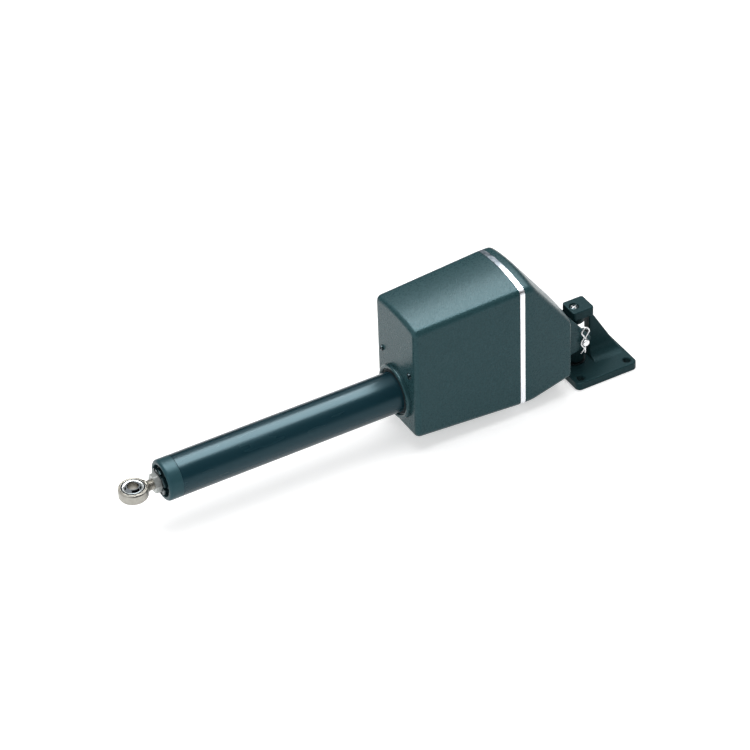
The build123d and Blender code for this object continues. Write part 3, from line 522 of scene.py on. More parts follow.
class Finish:
    """A material in the making: one Principled shader fed by patterns on Object coordinates."""

    def __init__(self, name, base, roughness, metallic=0.0, **sockets):
        self.material = bpy.data.materials.new(name)
        self.material.use_nodes = True
        self.material.diffuse_color = (*base, 1.0)
        self.nodes, self.links = self.material.node_tree.nodes, self.material.node_tree.links
        self.shader = self.nodes["Principled BSDF"]
        self.shader.inputs["Base Color"].default_value = (*base, 1.0)
        self.shader.inputs["Roughness"].default_value = roughness
        self.shader.inputs["Metallic"].default_value = metallic
        for socket, value in sockets.items():
            self.shader.inputs[socket.replace("_", " ")].default_value = value
        self.place = self.nodes.new("ShaderNodeTexCoord").outputs["Object"]
        self.surface = None

    def add(self, kind, **inputs):
        """Adds a node and sets or links its inputs."""
        node = self.nodes.new(kind)
        for name, value in inputs.items():
            socket = node.inputs[name.replace("_", " ")]
            if isinstance(value, bpy.types.NodeSocket):
                self.links.new(value, socket)
            else:
                socket.default_value = value
        return node

    def grain(self, per_metre, detail=2.0, stretch=(1.0, 1.0, 1.0)):
        """Noise with this many features to the metre, stretched along the axes."""
        placing = self.add("ShaderNodeMapping", Vector=self.place, Scale=stretch)
        return self.add(
            "ShaderNodeTexNoise", Vector=placing.outputs["Vector"], Scale=per_metre, Detail=detail
        ).outputs["Fac"]

    def ramp(self, axis, start, end, full=1.0):
        """0 before the first place along an axis and full past the second."""
        parts = self.add("ShaderNodeSeparateXYZ", Vector=self.place)
        return self.span(parts.outputs[axis], start, end, 0.0, full)

    def plus(self, pattern, first, second):
        """The pattern plus the product of two others."""
        total = self.add("ShaderNodeMath")
        total.operation = "MULTIPLY_ADD"
        for number, value in enumerate((first, second, pattern)):
            self.links.new(value, total.inputs[number])
        return total.outputs["Value"]

    def span(self, pattern, start, end, low_value, high_value):
        """Rescales a pattern from start and end to the low and the high value."""
        return self.add(
            "ShaderNodeMapRange", Value=pattern, From_Min=start, From_Max=end, To_Min=low_value,
            To_Max=high_value,
        ).outputs["Result"]

    def tint(self, pattern, first, second, start=0.35, end=0.65):
        """Colours the base from first to second with the pattern."""
        share = self.span(pattern, start, end, 0.0, 1.0)
        mix = self.nodes.new("ShaderNodeMix")
        mix.data_type = "RGBA"
        colours = [socket for socket in mix.inputs if socket.type == "RGBA"]
        self.links.new(share, mix.inputs["Factor"])
        colours[0].default_value, colours[1].default_value = (*first, 1.0), (*second, 1.0)
        result = [socket for socket in mix.outputs if socket.type == "RGBA"][0]
        self.links.new(result, self.shader.inputs["Base Color"])
        return self

    def gloss(self, pattern, smooth, rough):
        """Varies the roughness with the pattern."""
        self.links.new(self.span(pattern, 0.3, 0.7, smooth, rough), self.shader.inputs["Roughness"])
        return self

    def relief(self, pattern, depth, strength):
        """Raises the surface by the pattern, depth metres from low to high, over any relief before it."""
        bump = self.add("ShaderNodeBump", Height=pattern, Distance=depth, Strength=strength)
        if self.surface:
            self.links.new(self.surface, bump.inputs["Normal"])
        self.surface = bump.outputs["Normal"]
        self.links.new(self.surface, self.shader.inputs["Normal"])
        return self


MADE_FINISHES = {}


def finish(maker):
    """Makes a finish once, from the colours set on the scene, so that all its pieces share it."""
    def kept():
        if maker.__name__ not in MADE_FINISHES:
            MADE_FINISHES[maker.__name__] = maker(finish_colours()).material
        return MADE_FINISHES[maker.__name__]
    return kept


def painted(name, base, roughness, specular):
    """Paint or lacquer, whose reflections carry the gloss tint."""
    tint = (*finish_colours().gloss_tint, 1.0)
    return Finish(name, base, roughness, Specular_IOR_Level=specular, Specular_Tint=tint)


@finish
def textured_paint(tones):
    """Fine wrinkled paint: round grains under a millimetre, each catching light, over a faint mottle."""
    made = painted("textured_paint", tones.paint, 0.32, 0.2)
    grains = made.grain(620.0, 3.0)
    made.tint(grains, tones.paint, tones.paint_fleck, 0.42, 0.72)
    made.gloss(made.grain(420.0), 0.23, 0.36)
    made.relief(grains, 0.22 * MM, 0.85)
    return made.relief(made.grain(38.0), 0.4 * MM, 0.1)


@finish
def casting_paint(tones):
    """The same paint over a sand casting: a coarser relief under a finer grain."""
    made = painted("casting_paint", tones.casting, 0.4, 0.1)
    made.tint(made.grain(600.0, 4.0), tones.casting, tones.casting_fleck, 0.45, 0.8)
    made.gloss(made.grain(300.0), 0.34, 0.46)
    made.relief(made.grain(260.0, 4.0), 0.3 * MM, 0.25)
    return made.relief(made.grain(900.0), 0.1 * MM, 0.3)


@finish
def swivel_shade_paint(tones):
    """Thin paint on the swivel's casting, darker than the foot's: painted shade for the shade under the arm
    and between housing and web.
    """
    made = painted("swivel_shade_paint", tones.swivel, 0.42, 0.12)
    made.tint(made.grain(500.0, 4.0), tones.swivel, tones.casting, 0.5, 0.9)
    return made.relief(made.grain(260.0, 4.0), 0.3 * MM, 0.25)


@finish
def gloss_tube_paint(tones):
    """Smooth gloss paint with a faint orange peel and long drawing marks under it."""
    made = painted("gloss_tube_paint", tones.tube, 0.25, 0.3)
    made.gloss(made.grain(90.0, 3.0, (0.15, 1.0, 1.0)), 0.21, 0.29)
    return made.relief(made.grain(160.0), 0.12 * MM, 0.08)


@finish
def satin_cap_paint(tones):
    """Satin paint, lighter than the tube's, with fine turning marks round the axis."""
    made = painted("satin_cap_paint", tones.cap, 0.34, 0.2)
    made.gloss(made.grain(500.0), 0.3, 0.4)
    return made.relief(made.grain(2400.0, 1.0, (1.0, 0.02, 0.02)), 0.03 * MM, 0.25)


@finish
def collar_enamel(tones):
    """The covers' colour, smooth and glossier over turned metal."""
    made = painted("collar_enamel", tones.paint, 0.24, 0.3)
    made.gloss(made.grain(300.0), 0.2, 0.3)
    return made.relief(made.grain(220.0), 0.08 * MM, 0.1)


@finish
def bare_aluminium(tones):
    """Machined plate edge: bright on its sides; along its top it is darkened in blotches toward the top-shade
    colour, painted shade that deepens toward the far side."""
    made = Finish("bare_aluminium", tones.aluminium, 0.32, 1.0)
    top = THRUST_Z + SEAM_TOP
    # Painted shade: the top edge, and more so its far side, is darkened toward the top-shade colour, broken
    # by blotches
    top_shade = made.ramp("Z", top - 16.0 * MM, top - 8.0 * MM)
    far_shade = made.ramp("Y", -1.2 * SEAM_HALF_WIDTH, 0.15 * SEAM_HALF_WIDTH, 0.64)
    cloud = made.span(made.grain(200.0, 3.0), 0.0, 1.0, 0.2, 0.8)
    made.tint(made.plus(cloud, top_shade, far_shade), tones.aluminium, tones.aluminium_top_shade, 0.68, 1.16)
    made.gloss(made.grain(180.0, 3.0), 0.26, 0.42)
    return made.relief(made.grain(1500.0, 2.0, (3.0, 0.3, 0.3)), 0.02 * MM, 0.35)


@finish
def bright_zinc(tones):
    """Zinc plate: bright, slightly cloudy."""
    made = Finish("bright_zinc", tones.zinc, 0.3, 1.0)
    made.tint(made.grain(300.0, 3.0), tones.zinc, tones.zinc_cloud)
    made.gloss(made.grain(520.0), 0.24, 0.36)
    return made.relief(made.grain(1100.0), 0.04 * MM, 0.2)


@finish
def plated_bright(tones):
    """Bright plating, almost white, on pin, clip and pivot screw."""
    made = Finish("plated_bright", tones.plated, 0.26, 1.0)
    made.gloss(made.grain(600.0), 0.22, 0.34)
    return made.relief(made.grain(1300.0), 0.03 * MM, 0.2)


@finish
def plated_matt(tones):
    """Dull plating of the lock nut, clouded."""
    made = Finish("plated_matt", tones.matt_zinc, 0.4, 0.6)
    made.tint(made.grain(260.0, 3.0), tones.matt_zinc, tones.matt_zinc_cloud)
    made.gloss(made.grain(520.0), 0.28, 0.4)
    return made.relief(made.grain(1100.0), 0.04 * MM, 0.2)


@finish
def forged_eye_steel(tones):
    """Plated forging, satin and a little warm, with a fine dimpled skin."""
    made = Finish("forged_eye_steel", tones.eye, 0.4, 1.0)
    made.tint(made.grain(260.0, 3.0), tones.eye, tones.eye_cloud)
    made.gloss(made.grain(700.0), 0.28, 0.38)
    return made.relief(made.grain(800.0, 2.0), 0.05 * MM, 0.2)


@finish
def polished_ball(tones):
    """Chromed ball, near mirror, with the faintest lapping haze."""
    made = Finish("polished_ball", tones.chrome, 0.1, 1.0)
    made.gloss(made.grain(260.0, 3.0), 0.05, 0.11)
    return made.relief(made.grain(500.0), 0.01 * MM, 0.1)


@finish
def bore_steel(tones):
    """Honed bore, duller than the ball's skin and a little warm."""
    made = Finish("bore_steel", tones.bore, 0.3, 1.0)
    made.gloss(made.grain(600.0), 0.26, 0.36)
    return made.relief(made.grain(2400.0, 1.0, (1.0, 1.0, 0.05)), 0.01 * MM, 0.3)


@finish
def race_steel(tones):
    """Hardened insert of the rod end, finely turned."""
    made = Finish("race_steel", tones.race, 0.24, 1.0)
    made.gloss(made.grain(500.0), 0.2, 0.3)
    return made.relief(made.grain(2600.0, 1.0), 0.01 * MM, 0.2)


@finish
def glossy_black(tones):
    """Black oxide left wet with oil: near black, with sharp glints."""
    made = painted("glossy_black", tones.black_oxide, 0.16, 0.5)
    made.gloss(made.grain(400.0), 0.1, 0.22)
    return made.relief(made.grain(700.0), 0.06 * MM, 0.4)


@finish
def ground_steel(tones):
    """Ground shafting with fine marks round its axis."""
    made = Finish("ground_steel", tones.shafting, 0.22, 1.0)
    made.gloss(made.grain(1800.0, 2.0, (1.0, 0.04, 0.04)), 0.16, 0.3)
    return made.relief(made.grain(3000.0, 1.0, (1.0, 0.02, 0.02)), 0.01 * MM, 0.3)


@finish
def blackened_steel(tones):
    """Oil blackened steel with grey rubbed patches."""
    made = Finish("blackened_steel", tones.blackened, 0.34, 0.6)
    made.tint(made.grain(330.0, 4.0), tones.blackened, tones.blackened_rub, 0.5, 0.85)
    made.gloss(made.grain(600.0), 0.28, 0.42)
    return made.relief(made.grain(1200.0), 0.03 * MM, 0.2)


@finish
def sintered_bronze(tones):
    """Porous oil-filled bronze."""
    made = Finish("sintered_bronze", tones.bronze, 0.42, 1.0)
    made.tint(made.grain(1400.0, 3.0), tones.bronze, tones.bronze_pore, 0.5, 0.75)
    return made.relief(made.grain(2200.0), 0.03 * MM, 0.4)


@finish
def moulded_rubber(tones):
    """Matt black rubber with a faint bloom."""
    made = Finish("moulded_rubber", tones.rubber, 0.7, Specular_IOR_Level=0.1)
    made.tint(made.grain(120.0, 4.0), tones.rubber, tones.rubber_bloom)
    return made.relief(made.grain(1500.0), 0.04 * MM, 0.3)


@finish
def gland_nylon(tones):
    """Black moulded nylon with a fine matt texture."""
    made = Finish("gland_nylon", tones.nylon, 0.45, Specular_IOR_Level=0.4)
    made.gloss(made.grain(800.0), 0.4, 0.55)
    return made.relief(made.grain(1300.0), 0.03 * MM, 0.25)


@finish
def motor_enamel(tones):
    """Grey enamel on a rolled motor can, a little uneven."""
    made = Finish("motor_enamel", tones.enamel, 0.35, Specular_IOR_Level=0.5)
    made.gloss(made.grain(250.0, 3.0), 0.3, 0.45)
    return made.relief(made.grain(180.0), 0.1 * MM, 0.15)


@finish
def phosphated_shell(tones):
    """Grey phosphated steel with a crystalline mottle."""
    made = Finish("phosphated_shell", tones.phosphate, 0.55, 0.4)
    made.tint(made.grain(900.0, 4.0), tones.phosphate_dark, tones.phosphate_pale)
    return made.relief(made.grain(1600.0), 0.03 * MM, 0.3)


# Housing

def housing_section(x):
    """Half width, floor, shoulder and crown of the housing at stations x.

    Each runs straight from its front value to its seam value, stays there up to the shoulder and then
    runs straight to its tail value. The bend at the shoulder is a parabola over the shoulder run.
    """
    size = housing_sizes()
    seam = np.array([SEAM_HALF_WIDTH, SEAM_FLOOR, SEAM_TOP - size.seam_crown, size.seam_crown])
    front = np.array([size.front_half_width, -size.front_floor, size.front_shoulder, size.front_crown])
    tail = np.array([size.tail_half_width, -size.tail_floor, size.tail_shoulder, size.tail_crown])
    run = size.shoulder_run
    before = np.clip((SEAM_X - x) / (SEAM_X - FRONT_X), 0.0, None)[..., None]
    past = x - SHOULDER_X
    bend = np.where(np.abs(past) < run, (past + run) ** 2 / (4 * run), np.clip(past, 0.0, None))
    after = (bend / (REAR_WALL_X - SHOULDER_X))[..., None]
    return (seam + (front - seam) * before + (tail - seam) * after).T


def housing_outline(x, inset, steps=8):
    """Housing outline at stations x, standing inset inside the outer face.

    It is five arcs joined by straight sides: two lower corners, two upper corners and the bowed top.
    The top's radius is (w * w + c * c) / 2c for half width w and crown c. The upper corners' centres
    are one corner radius in from the side and top radius less corner radius from the top's centre.
    Every point is an arc centre plus its radius along (cos a, sin a), and the inset shortens radii.
    """
    width, floor, shoulder, crown = (value[:, None] for value in housing_section(np.asarray(x, float)))
    corner = housing_sizes().corner_radius
    top_radius = (width**2 + crown**2) / (2 * crown)
    top_centre = shoulder + crown - top_radius
    centre_y = width - corner
    centre_z = top_centre + np.sqrt((top_radius - corner) ** 2 - centre_y**2)
    joint = np.arctan2(centre_z - top_centre, centre_y)
    share = np.linspace(0, 1, steps + 1)
    long_share = np.linspace(0, 1, 3 * steps + 1)[1:-1]
    quarter = np.zeros_like(width) + math.pi / 2 * share
    inset = np.asarray(inset, float)[:, None]

    def arc(at_y, at_z, radius, angle):
        return at_y + (radius - inset) * np.cos(angle), at_z + (radius - inset) * np.sin(angle)

    arcs = [
        arc(centre_y, centre_z, corner, joint * share),
        arc(0.0, top_centre, top_radius, joint + (math.pi - 2 * joint) * long_share),
        arc(-centre_y, centre_z, corner, math.pi - joint * share[::-1]),
        arc(-centre_y, floor + corner, corner, math.pi + quarter),
        arc(centre_y, floor + corner, corner, 1.5 * math.pi + quarter),
    ]
    across = np.hstack([part[0] for part in arcs])
    up = np.hstack([part[1] for part in arcs]) + THRUST_Z
    return placed("X", np.asarray(x, float)[:, None], across, up)


def bored_rows(rows, radius):
    """A circle about the thrust line at each row's station, its points facing the row's own."""
    across, up = rows[..., 1], rows[..., 2] - THRUST_Z
    return around("X", THRUST_LINE, rows[..., 0], radius, np.arctan2(up, across))


def housing_shell(stations, insets, bore):
    """Closed wall: the housing outline at each station and inset, closed by circles of the bore."""
    wall = housing_outline(stations, insets)
    first = bored_rows(wall[:1], bore)
    last = bored_rows(wall[-1:], bore)
    return np.vstack([first, wall, last])


class DRIVE_OT_front_cover(Operator):
    """Drafted front cover: a hollow hood with a bowed top, open at the seam"""

    bl_idname = "drive.front_cover"
    bl_label = "Front cover"

    def execute(self, context):
        size = housing_sizes()
        wall = size.cover_wall
        rim = rounds(FRONT_X, SEAM_X, size.front_round, 8)[0]
        brink = rounds(FRONT_X, SEAM_X, size.seam_break)[1]
        between = np.linspace(rim[-1, 0], brink[0, 0], 6)[1:-1]
        sides = np.stack([between, np.zeros_like(between)], 1)
        inner = rounds(FRONT_X + wall, SEAM_X, size.front_round - wall)[0][::-1] + (0.0, wall)
        profile = np.vstack([rim, sides, brink, [(SEAM_X, wall)], inner])
        hood = housing_shell(profile[:, 0], profile[:, 1], high("tube_collar").y - COLLAR_LIP)
        made = piece(
            "front_cover_shell", "drive", [(hood, "loop")], [textured_paint()], ["front_cover"],
        )
        even_shading(made)
        return {"FINISHED"}


def ear_outline():
    """Outline of a clevis ear in XZ: a triangle from two points on the casing's rear wall, whose sides
    touch the circle round the pin and whose apex is rounded to that circle."""
    size = housing_sizes()
    root_round = 0.5 * MM
    wall_x = REAR_WALL_X - size.casing_wall / 2
    centre = np.array([0.0, PIN_Z])
    roots = np.array([(wall_x, THRUST_Z + size.ear_top), (wall_x, THRUST_Z - size.ear_floor)])
    toward = centre - roots
    distance = np.linalg.norm(toward, axis=1)
    heading = np.arctan2(toward[:, 1], toward[:, 0]) + np.arcsin(size.ear_radius / distance) * (1, -1)
    direction = np.stack([np.cos(heading), np.sin(heading)], 1)
    reach = np.linalg.solve(np.stack([direction[0], -direction[1]], 1), roots[1] - roots[0])
    apex = roots[0] + direction[0] * reach[0]
    return rounded([roots[1], apex, roots[0]], [root_round, size.ear_radius, root_round], steps=16)


class DRIVE_OT_rear_casing(Operator):
    """Rear casing: a hollow shell that slopes down to the tail, with two clevis ears"""

    bl_idname = "drive.rear_casing"
    bl_label = "Rear casing"
    ear_rim = 1.0 * MM

    def execute(self, context):
        size = housing_sizes()
        wall = size.casing_wall
        brink = rounds(PLATE_REAR_X, REAR_WALL_X, size.seam_break)[0]
        bend = np.linspace(SHOULDER_X - size.shoulder_run, SHOULDER_X + size.shoulder_run, 7)
        slope = np.linspace(bend[-1], REAR_WALL_X - size.tail_round, 7)[1:-1]
        tail = rounds(PLATE_REAR_X, REAR_WALL_X, size.tail_round, 6)[1]
        along = np.hstack([bend, slope])
        outer = np.vstack([brink, np.stack([along, np.zeros_like(along)], 1), tail])
        back = np.hstack([[PLATE_REAR_X], along, [REAR_WALL_X - wall]])
        inner = np.stack([back, np.full_like(back, wall)], 1)
        profile = np.vstack([outer[::-1], inner])
        shells = [(housing_outline(profile[:, 0], profile[:, 1]), "cap")]
        points, normals = ear_outline()
        for side in (-1, 1):
            start = side * size.ear_gap_half
            plate = slab(start, start + side * size.ear_thickness, self.ear_rim)
            shells.append((carried("Y", (0, 0, 0), (points[:, ::-1], normals[:, ::-1]), plate), "cap"))
        made = piece(
            "rear_casing_shell", "drive", shells, [textured_paint()], ["rear_casing"]
        )
        even_shading(made)
        return {"FINISHED"}


class DRIVE_OT_chassis_strip(Operator):
    """Chassis plate whose bright edge shows between the covers"""

    bl_idname = "drive.chassis_strip"
    bl_label = "Chassis plate"
    edge, bore = 0.25 * MM, 13.0 * MM

    def execute(self, context):
        profile = slab(SEAM_X, PLATE_REAR_X, self.edge, 2)
        plate = housing_shell(profile[:, 0], profile[:, 1], self.bore)
        made = piece(
            "chassis_strip", "drive", [(plate, "loop")], [bare_aluminium()], ["chassis_plate"],
        )
        even_shading(made)
        return {"FINISHED"}


def socket_head(centre, seat, height, radius, socket):
    """Domed screw head with a hexagon socket, standing off its seat toward the rod end.

    The rows below are shares: of the radius and the drop from the top on the dome, and of the hexagon
    and the same drop in the socket. At angle a from the middle of a side the hexagon reaches its
    corners' radius times cos 30 over cos a.
    """
    angle = np.linspace(0, TURN, 48, endpoint=False)
    from_middle = (angle + HEXAGON_SIDE / 2) % HEXAGON_SIDE - HEXAGON_SIDE / 2
    hexagon = socket * math.cos(HEXAGON_SIDE / 2) / np.cos(from_middle)
    dome = np.array([(1.0, 1.0), (1.0, 0.25), (0.93, 0.1), (0.8, 0.03), (0.65, 0.0)])
    recess = np.array([(1.08, 0.0), (1.0, 0.06), (0.97, 0.6), (0.0, 0.66)])
    reach = np.vstack([dome[:, :1] * (radius + 0 * angle), recess[:, :1] * hexagon])
    drop = np.vstack([dome, recess])[:, 1:] * height
    return around("X", centre, seat - (height - drop), reach, angle)


class DRIVE_OT_cover_screws(Operator):
    """Two small socket screws in the front face"""

    bl_idname = "drive.cover_screws"
    bl_label = "Cover screws"
    head_radius, shank_radius = 3.2 * MM, 2.0 * MM

    def execute(self, context):
        box_low, box_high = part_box("cover_screws")
        at_y, at_z = box_high.y - self.head_radius, (box_low.z + box_high.z) / 2
        height = FRONT_X - box_low.x
        shank = bar_profile(FRONT_X - 0.2 * MM, box_high.x, self.shank_radius, 0.4 * MM)
        shells = []
        for side in (-1, 1):
            centre = (0.0, side * at_y, at_z)
            head = socket_head(centre, FRONT_X, height, self.head_radius, self.head_radius / 2)
            shells += [(head, "cap"), (turned("X", centre, shank, 24), "cap")]
        piece("cover_screw_pair", "drive", shells, [glossy_black()], ["cover_screws"])
        return {"FINISHED"}


class DRIVE_OT_tube_collar(Operator):
    """Collar with a rolled bead and a groove, and the rubber seal round the tube"""

    bl_idname = "drive.tube_collar"
    bl_label = "Tube collar"
    groove_depth = 2.6 * MM
    seal_height = 2.5 * MM

    def execute(self, context):
        size = tube_sizes()
        start, end = low("tube_collar").x, high("tube_collar").x
        outer, tube = high("tube_collar").y, high("outer_tube").y
        groove, spigot, bead = start + self.groove_depth, outer - COLLAR_LIP, outer - 2 * size.collar_bead
        profile = eased([
            (groove, tube, 0.2 * MM), (end, tube, 0.3 * MM), (end, spigot, 0.3 * MM),
            (FRONT_X, spigot, 0.2 * MM), (FRONT_X, outer, 0.3 * MM), (start, outer, 1.9 * MM),
            (start, bead, 1.9 * MM), (groove, bead - 0.6 * MM, 0.5 * MM),
        ], steps=6)
        made = piece(
            "collar_ring", "drive", [(turned("X", THRUST_LINE, profile, 128), "loop")], [collar_enamel()],
            ["tube_collar"], 50.0,
        )
        even_shading(made)
        lip = eased([
            (groove, tube, 0.2 * MM), (groove, tube + self.seal_height, 0.4 * MM),
            (groove - 1.0 * MM, tube + 2.4 * MM, 0.6 * MM), (groove - 2.1 * MM, tube, 0.2 * MM),
        ])
        piece(
            "collar_seal", "drive", [(turned("X", THRUST_LINE, lip), "loop")], [moulded_rubber()],
            ["tube_seal"],
        )
        return {"FINISHED"}


class DRIVE_OT_thrust_tube(Operator):
    """Gloss thrust tube, its satin end cap and the wiper in the cap's mouth"""

    bl_idname = "drive.thrust_tube"
    bl_label = "Thrust tube"
    guide_gap, wiper_gap = 1.0 * MM, 0.05 * MM
    wiper_rim = 1.5 * MM

    def execute(self, context):
        size = tube_sizes()
        start, end = low("outer_tube").x, high("outer_tube").x
        radius = high("outer_tube").y
        inside, mouth = radius - size.tube_wall, size.cap_mouth / 2
        profile = ring_profile(start, end, radius, inside, 0.35 * MM)
        tube = piece(
            "thrust_tube", "drive", [(turned("X", THRUST_LINE, profile, 160), "loop")],
            [gloss_tube_paint()], ["outer_tube"],
        )
        even_shading(tube)
        front, rear = low("tube_end_cap").x, high("tube_end_cap").x
        floor_x, seat_x = low("rod_wiper").x, high("rod_wiper").x
        guide = size.rod_radius + self.guide_gap
        profile = eased([
            (seat_x, guide, 0.2 * MM), (rear, guide, 0.3 * MM), (rear, inside, 0.3 * MM),
            (start, inside, 0.1 * MM), (start, radius, 0.4 * MM), (front, radius, size.cap_round),
            (front, mouth, 0.9 * MM), (seat_x, mouth, 0.2 * MM),
        ], steps=7)
        cap = piece(
            "tube_cap", "drive", [(turned("X", THRUST_LINE, profile, 128), "loop")], [satin_cap_paint()],
            ["tube_end_cap"], 50.0,
        )
        even_shading(cap)
        rod, rim = size.rod_radius + self.wiper_gap, mouth - self.wiper_rim
        corners = [(seat_x, rim), (seat_x, mouth), (floor_x, mouth), (floor_x, rim)]
        case = rounded(corners, 0.25 * MM, steps=3)[0]
        lip = eased([
            (seat_x, rod, 0.2 * MM), (seat_x, rim, 0.2 * MM), (floor_x + 1.2 * MM, rim, 0.3 * MM),
            (floor_x + 0.2 * MM, rod + 0.5 * MM, 0.15 * MM), (floor_x + 0.8 * MM, rod, 0.15 * MM),
        ], steps=3)
        shells = [(turned("X", THRUST_LINE, case), "loop", 0), (turned("X", THRUST_LINE, lip), "loop", 1)]
        piece(
            "cap_wiper", "drive", shells, [bright_zinc(), moulded_rubber()], ["rod_wiper"]
        )
        return {"FINISHED"}


class DRIVE_OT_push_rod(Operator):
    """Push tube, its slotted end plug and the lock nut"""

    bl_idname = "drive.push_rod"
    bl_label = "Push rod"
    wall = 3.0 * MM
    lead_in, rim = 0.6 * MM, 0.8 * MM
    nut_half_flats, nut_chamfer = 9.5 * MM, 1.1 * MM
    nut_turn = math.radians(18.0)

    def execute(self, context):
        size = tube_sizes()
        start, end = low("push_tube").x, high("push_tube").x
        profile = ring_profile(start, end, size.rod_radius, size.rod_radius - self.wall)
        piece(
            "push_rod", "rod", [(turned("X", THRUST_LINE, profile, 128), "loop")], [ground_steel()],
            ["push_tube"],
        )
        piece(
            "slotted_plug", "rod", [(self.plug(size, start), "loop")], [glossy_black()], ["rod_end_plug"],
            30.0,
        )
        piece(
            "hex_lock_nut", "rod", [(self.nut(size.thread_radius), "loop")], [plated_matt()], ["lock_nut"],
            25.0,
        )
        return {"FINISHED"}

    def plug(self, size, collar):
        """Turned plug up to the push tube's collar, whose rim is sunk by the slot depth wherever the
        angle is within half a slot of a slot's middle."""
        radius, thread, slot = size.rod_radius, size.thread_radius, size.plug_slot
        face, rear = low("rod_end_plug").x, high("rod_end_plug").x
        half, step, sheer = slot / 2 / radius, TURN / size.plug_slots, 1e-4
        marks = np.array([-half, -half + sheer, 0.0, half - sheer, half])
        lands = np.linspace(half, step - half, 8)[1:-1]
        angle = (np.arange(size.plug_slots)[:, None] * step + np.hstack([marks, lands])).ravel()
        sunk = np.tile(np.hstack([[0, 1, 1, 1, 0], np.zeros_like(lands)]), size.plug_slots) * slot
        bore, floor = radius - self.wall, radius - slot
        rows = np.array([
            (rear, thread, 0), (face + self.lead_in, thread, 0), (face, thread + self.lead_in, 0),
            (face, floor - 0.3 * MM, 0), (face, floor, 0), (face, floor + 0.01 * MM, 1),
            (face, radius - self.rim, 1), (face + self.rim, radius, 1), (collar, radius, 0),
            (collar, bore, 0), (rear, bore, 0),
        ])
        station, reach, notched = rows.T[:, :, None]
        return around("X", THRUST_LINE, station + notched * sunk, reach, angle)

    def nut(self, thread):
        """Hexagon nut: its reach is the lesser of the hexagon's and of a cone that falls 30 degrees
        from the corners at either face."""
        start, end = low("lock_nut").x, high("lock_nut").x
        angle = np.linspace(0, TURN, 96, endpoint=False)
        from_middle = (angle - self.nut_turn + HEXAGON_SIDE / 2) % HEXAGON_SIDE - HEXAGON_SIDE / 2
        hexagon = self.nut_half_flats / np.cos(from_middle)
        corner = self.nut_half_flats / math.cos(HEXAGON_SIDE / 2)
        depth = np.linspace(0, 1, 6) ** 1.5 * 1.2 * MM
        station = np.hstack([start + depth, end - depth[::-1]])[:, None]
        from_face = np.minimum(station - start, end - station)
        cone = corner - self.nut_chamfer + from_face * math.sqrt(3)
        bores = np.array([
            (end, thread + 0.5 * MM), (end - self.lead_in, thread), (start + self.lead_in, thread),
            (start, thread + 0.5 * MM),
        ])
        along = np.vstack([station, bores[:, :1]])
        reach = np.vstack([np.minimum(hexagon, cone), bores[:, 1:] + 0 * angle])
        return around("X", THRUST_LINE, along, reach, angle)


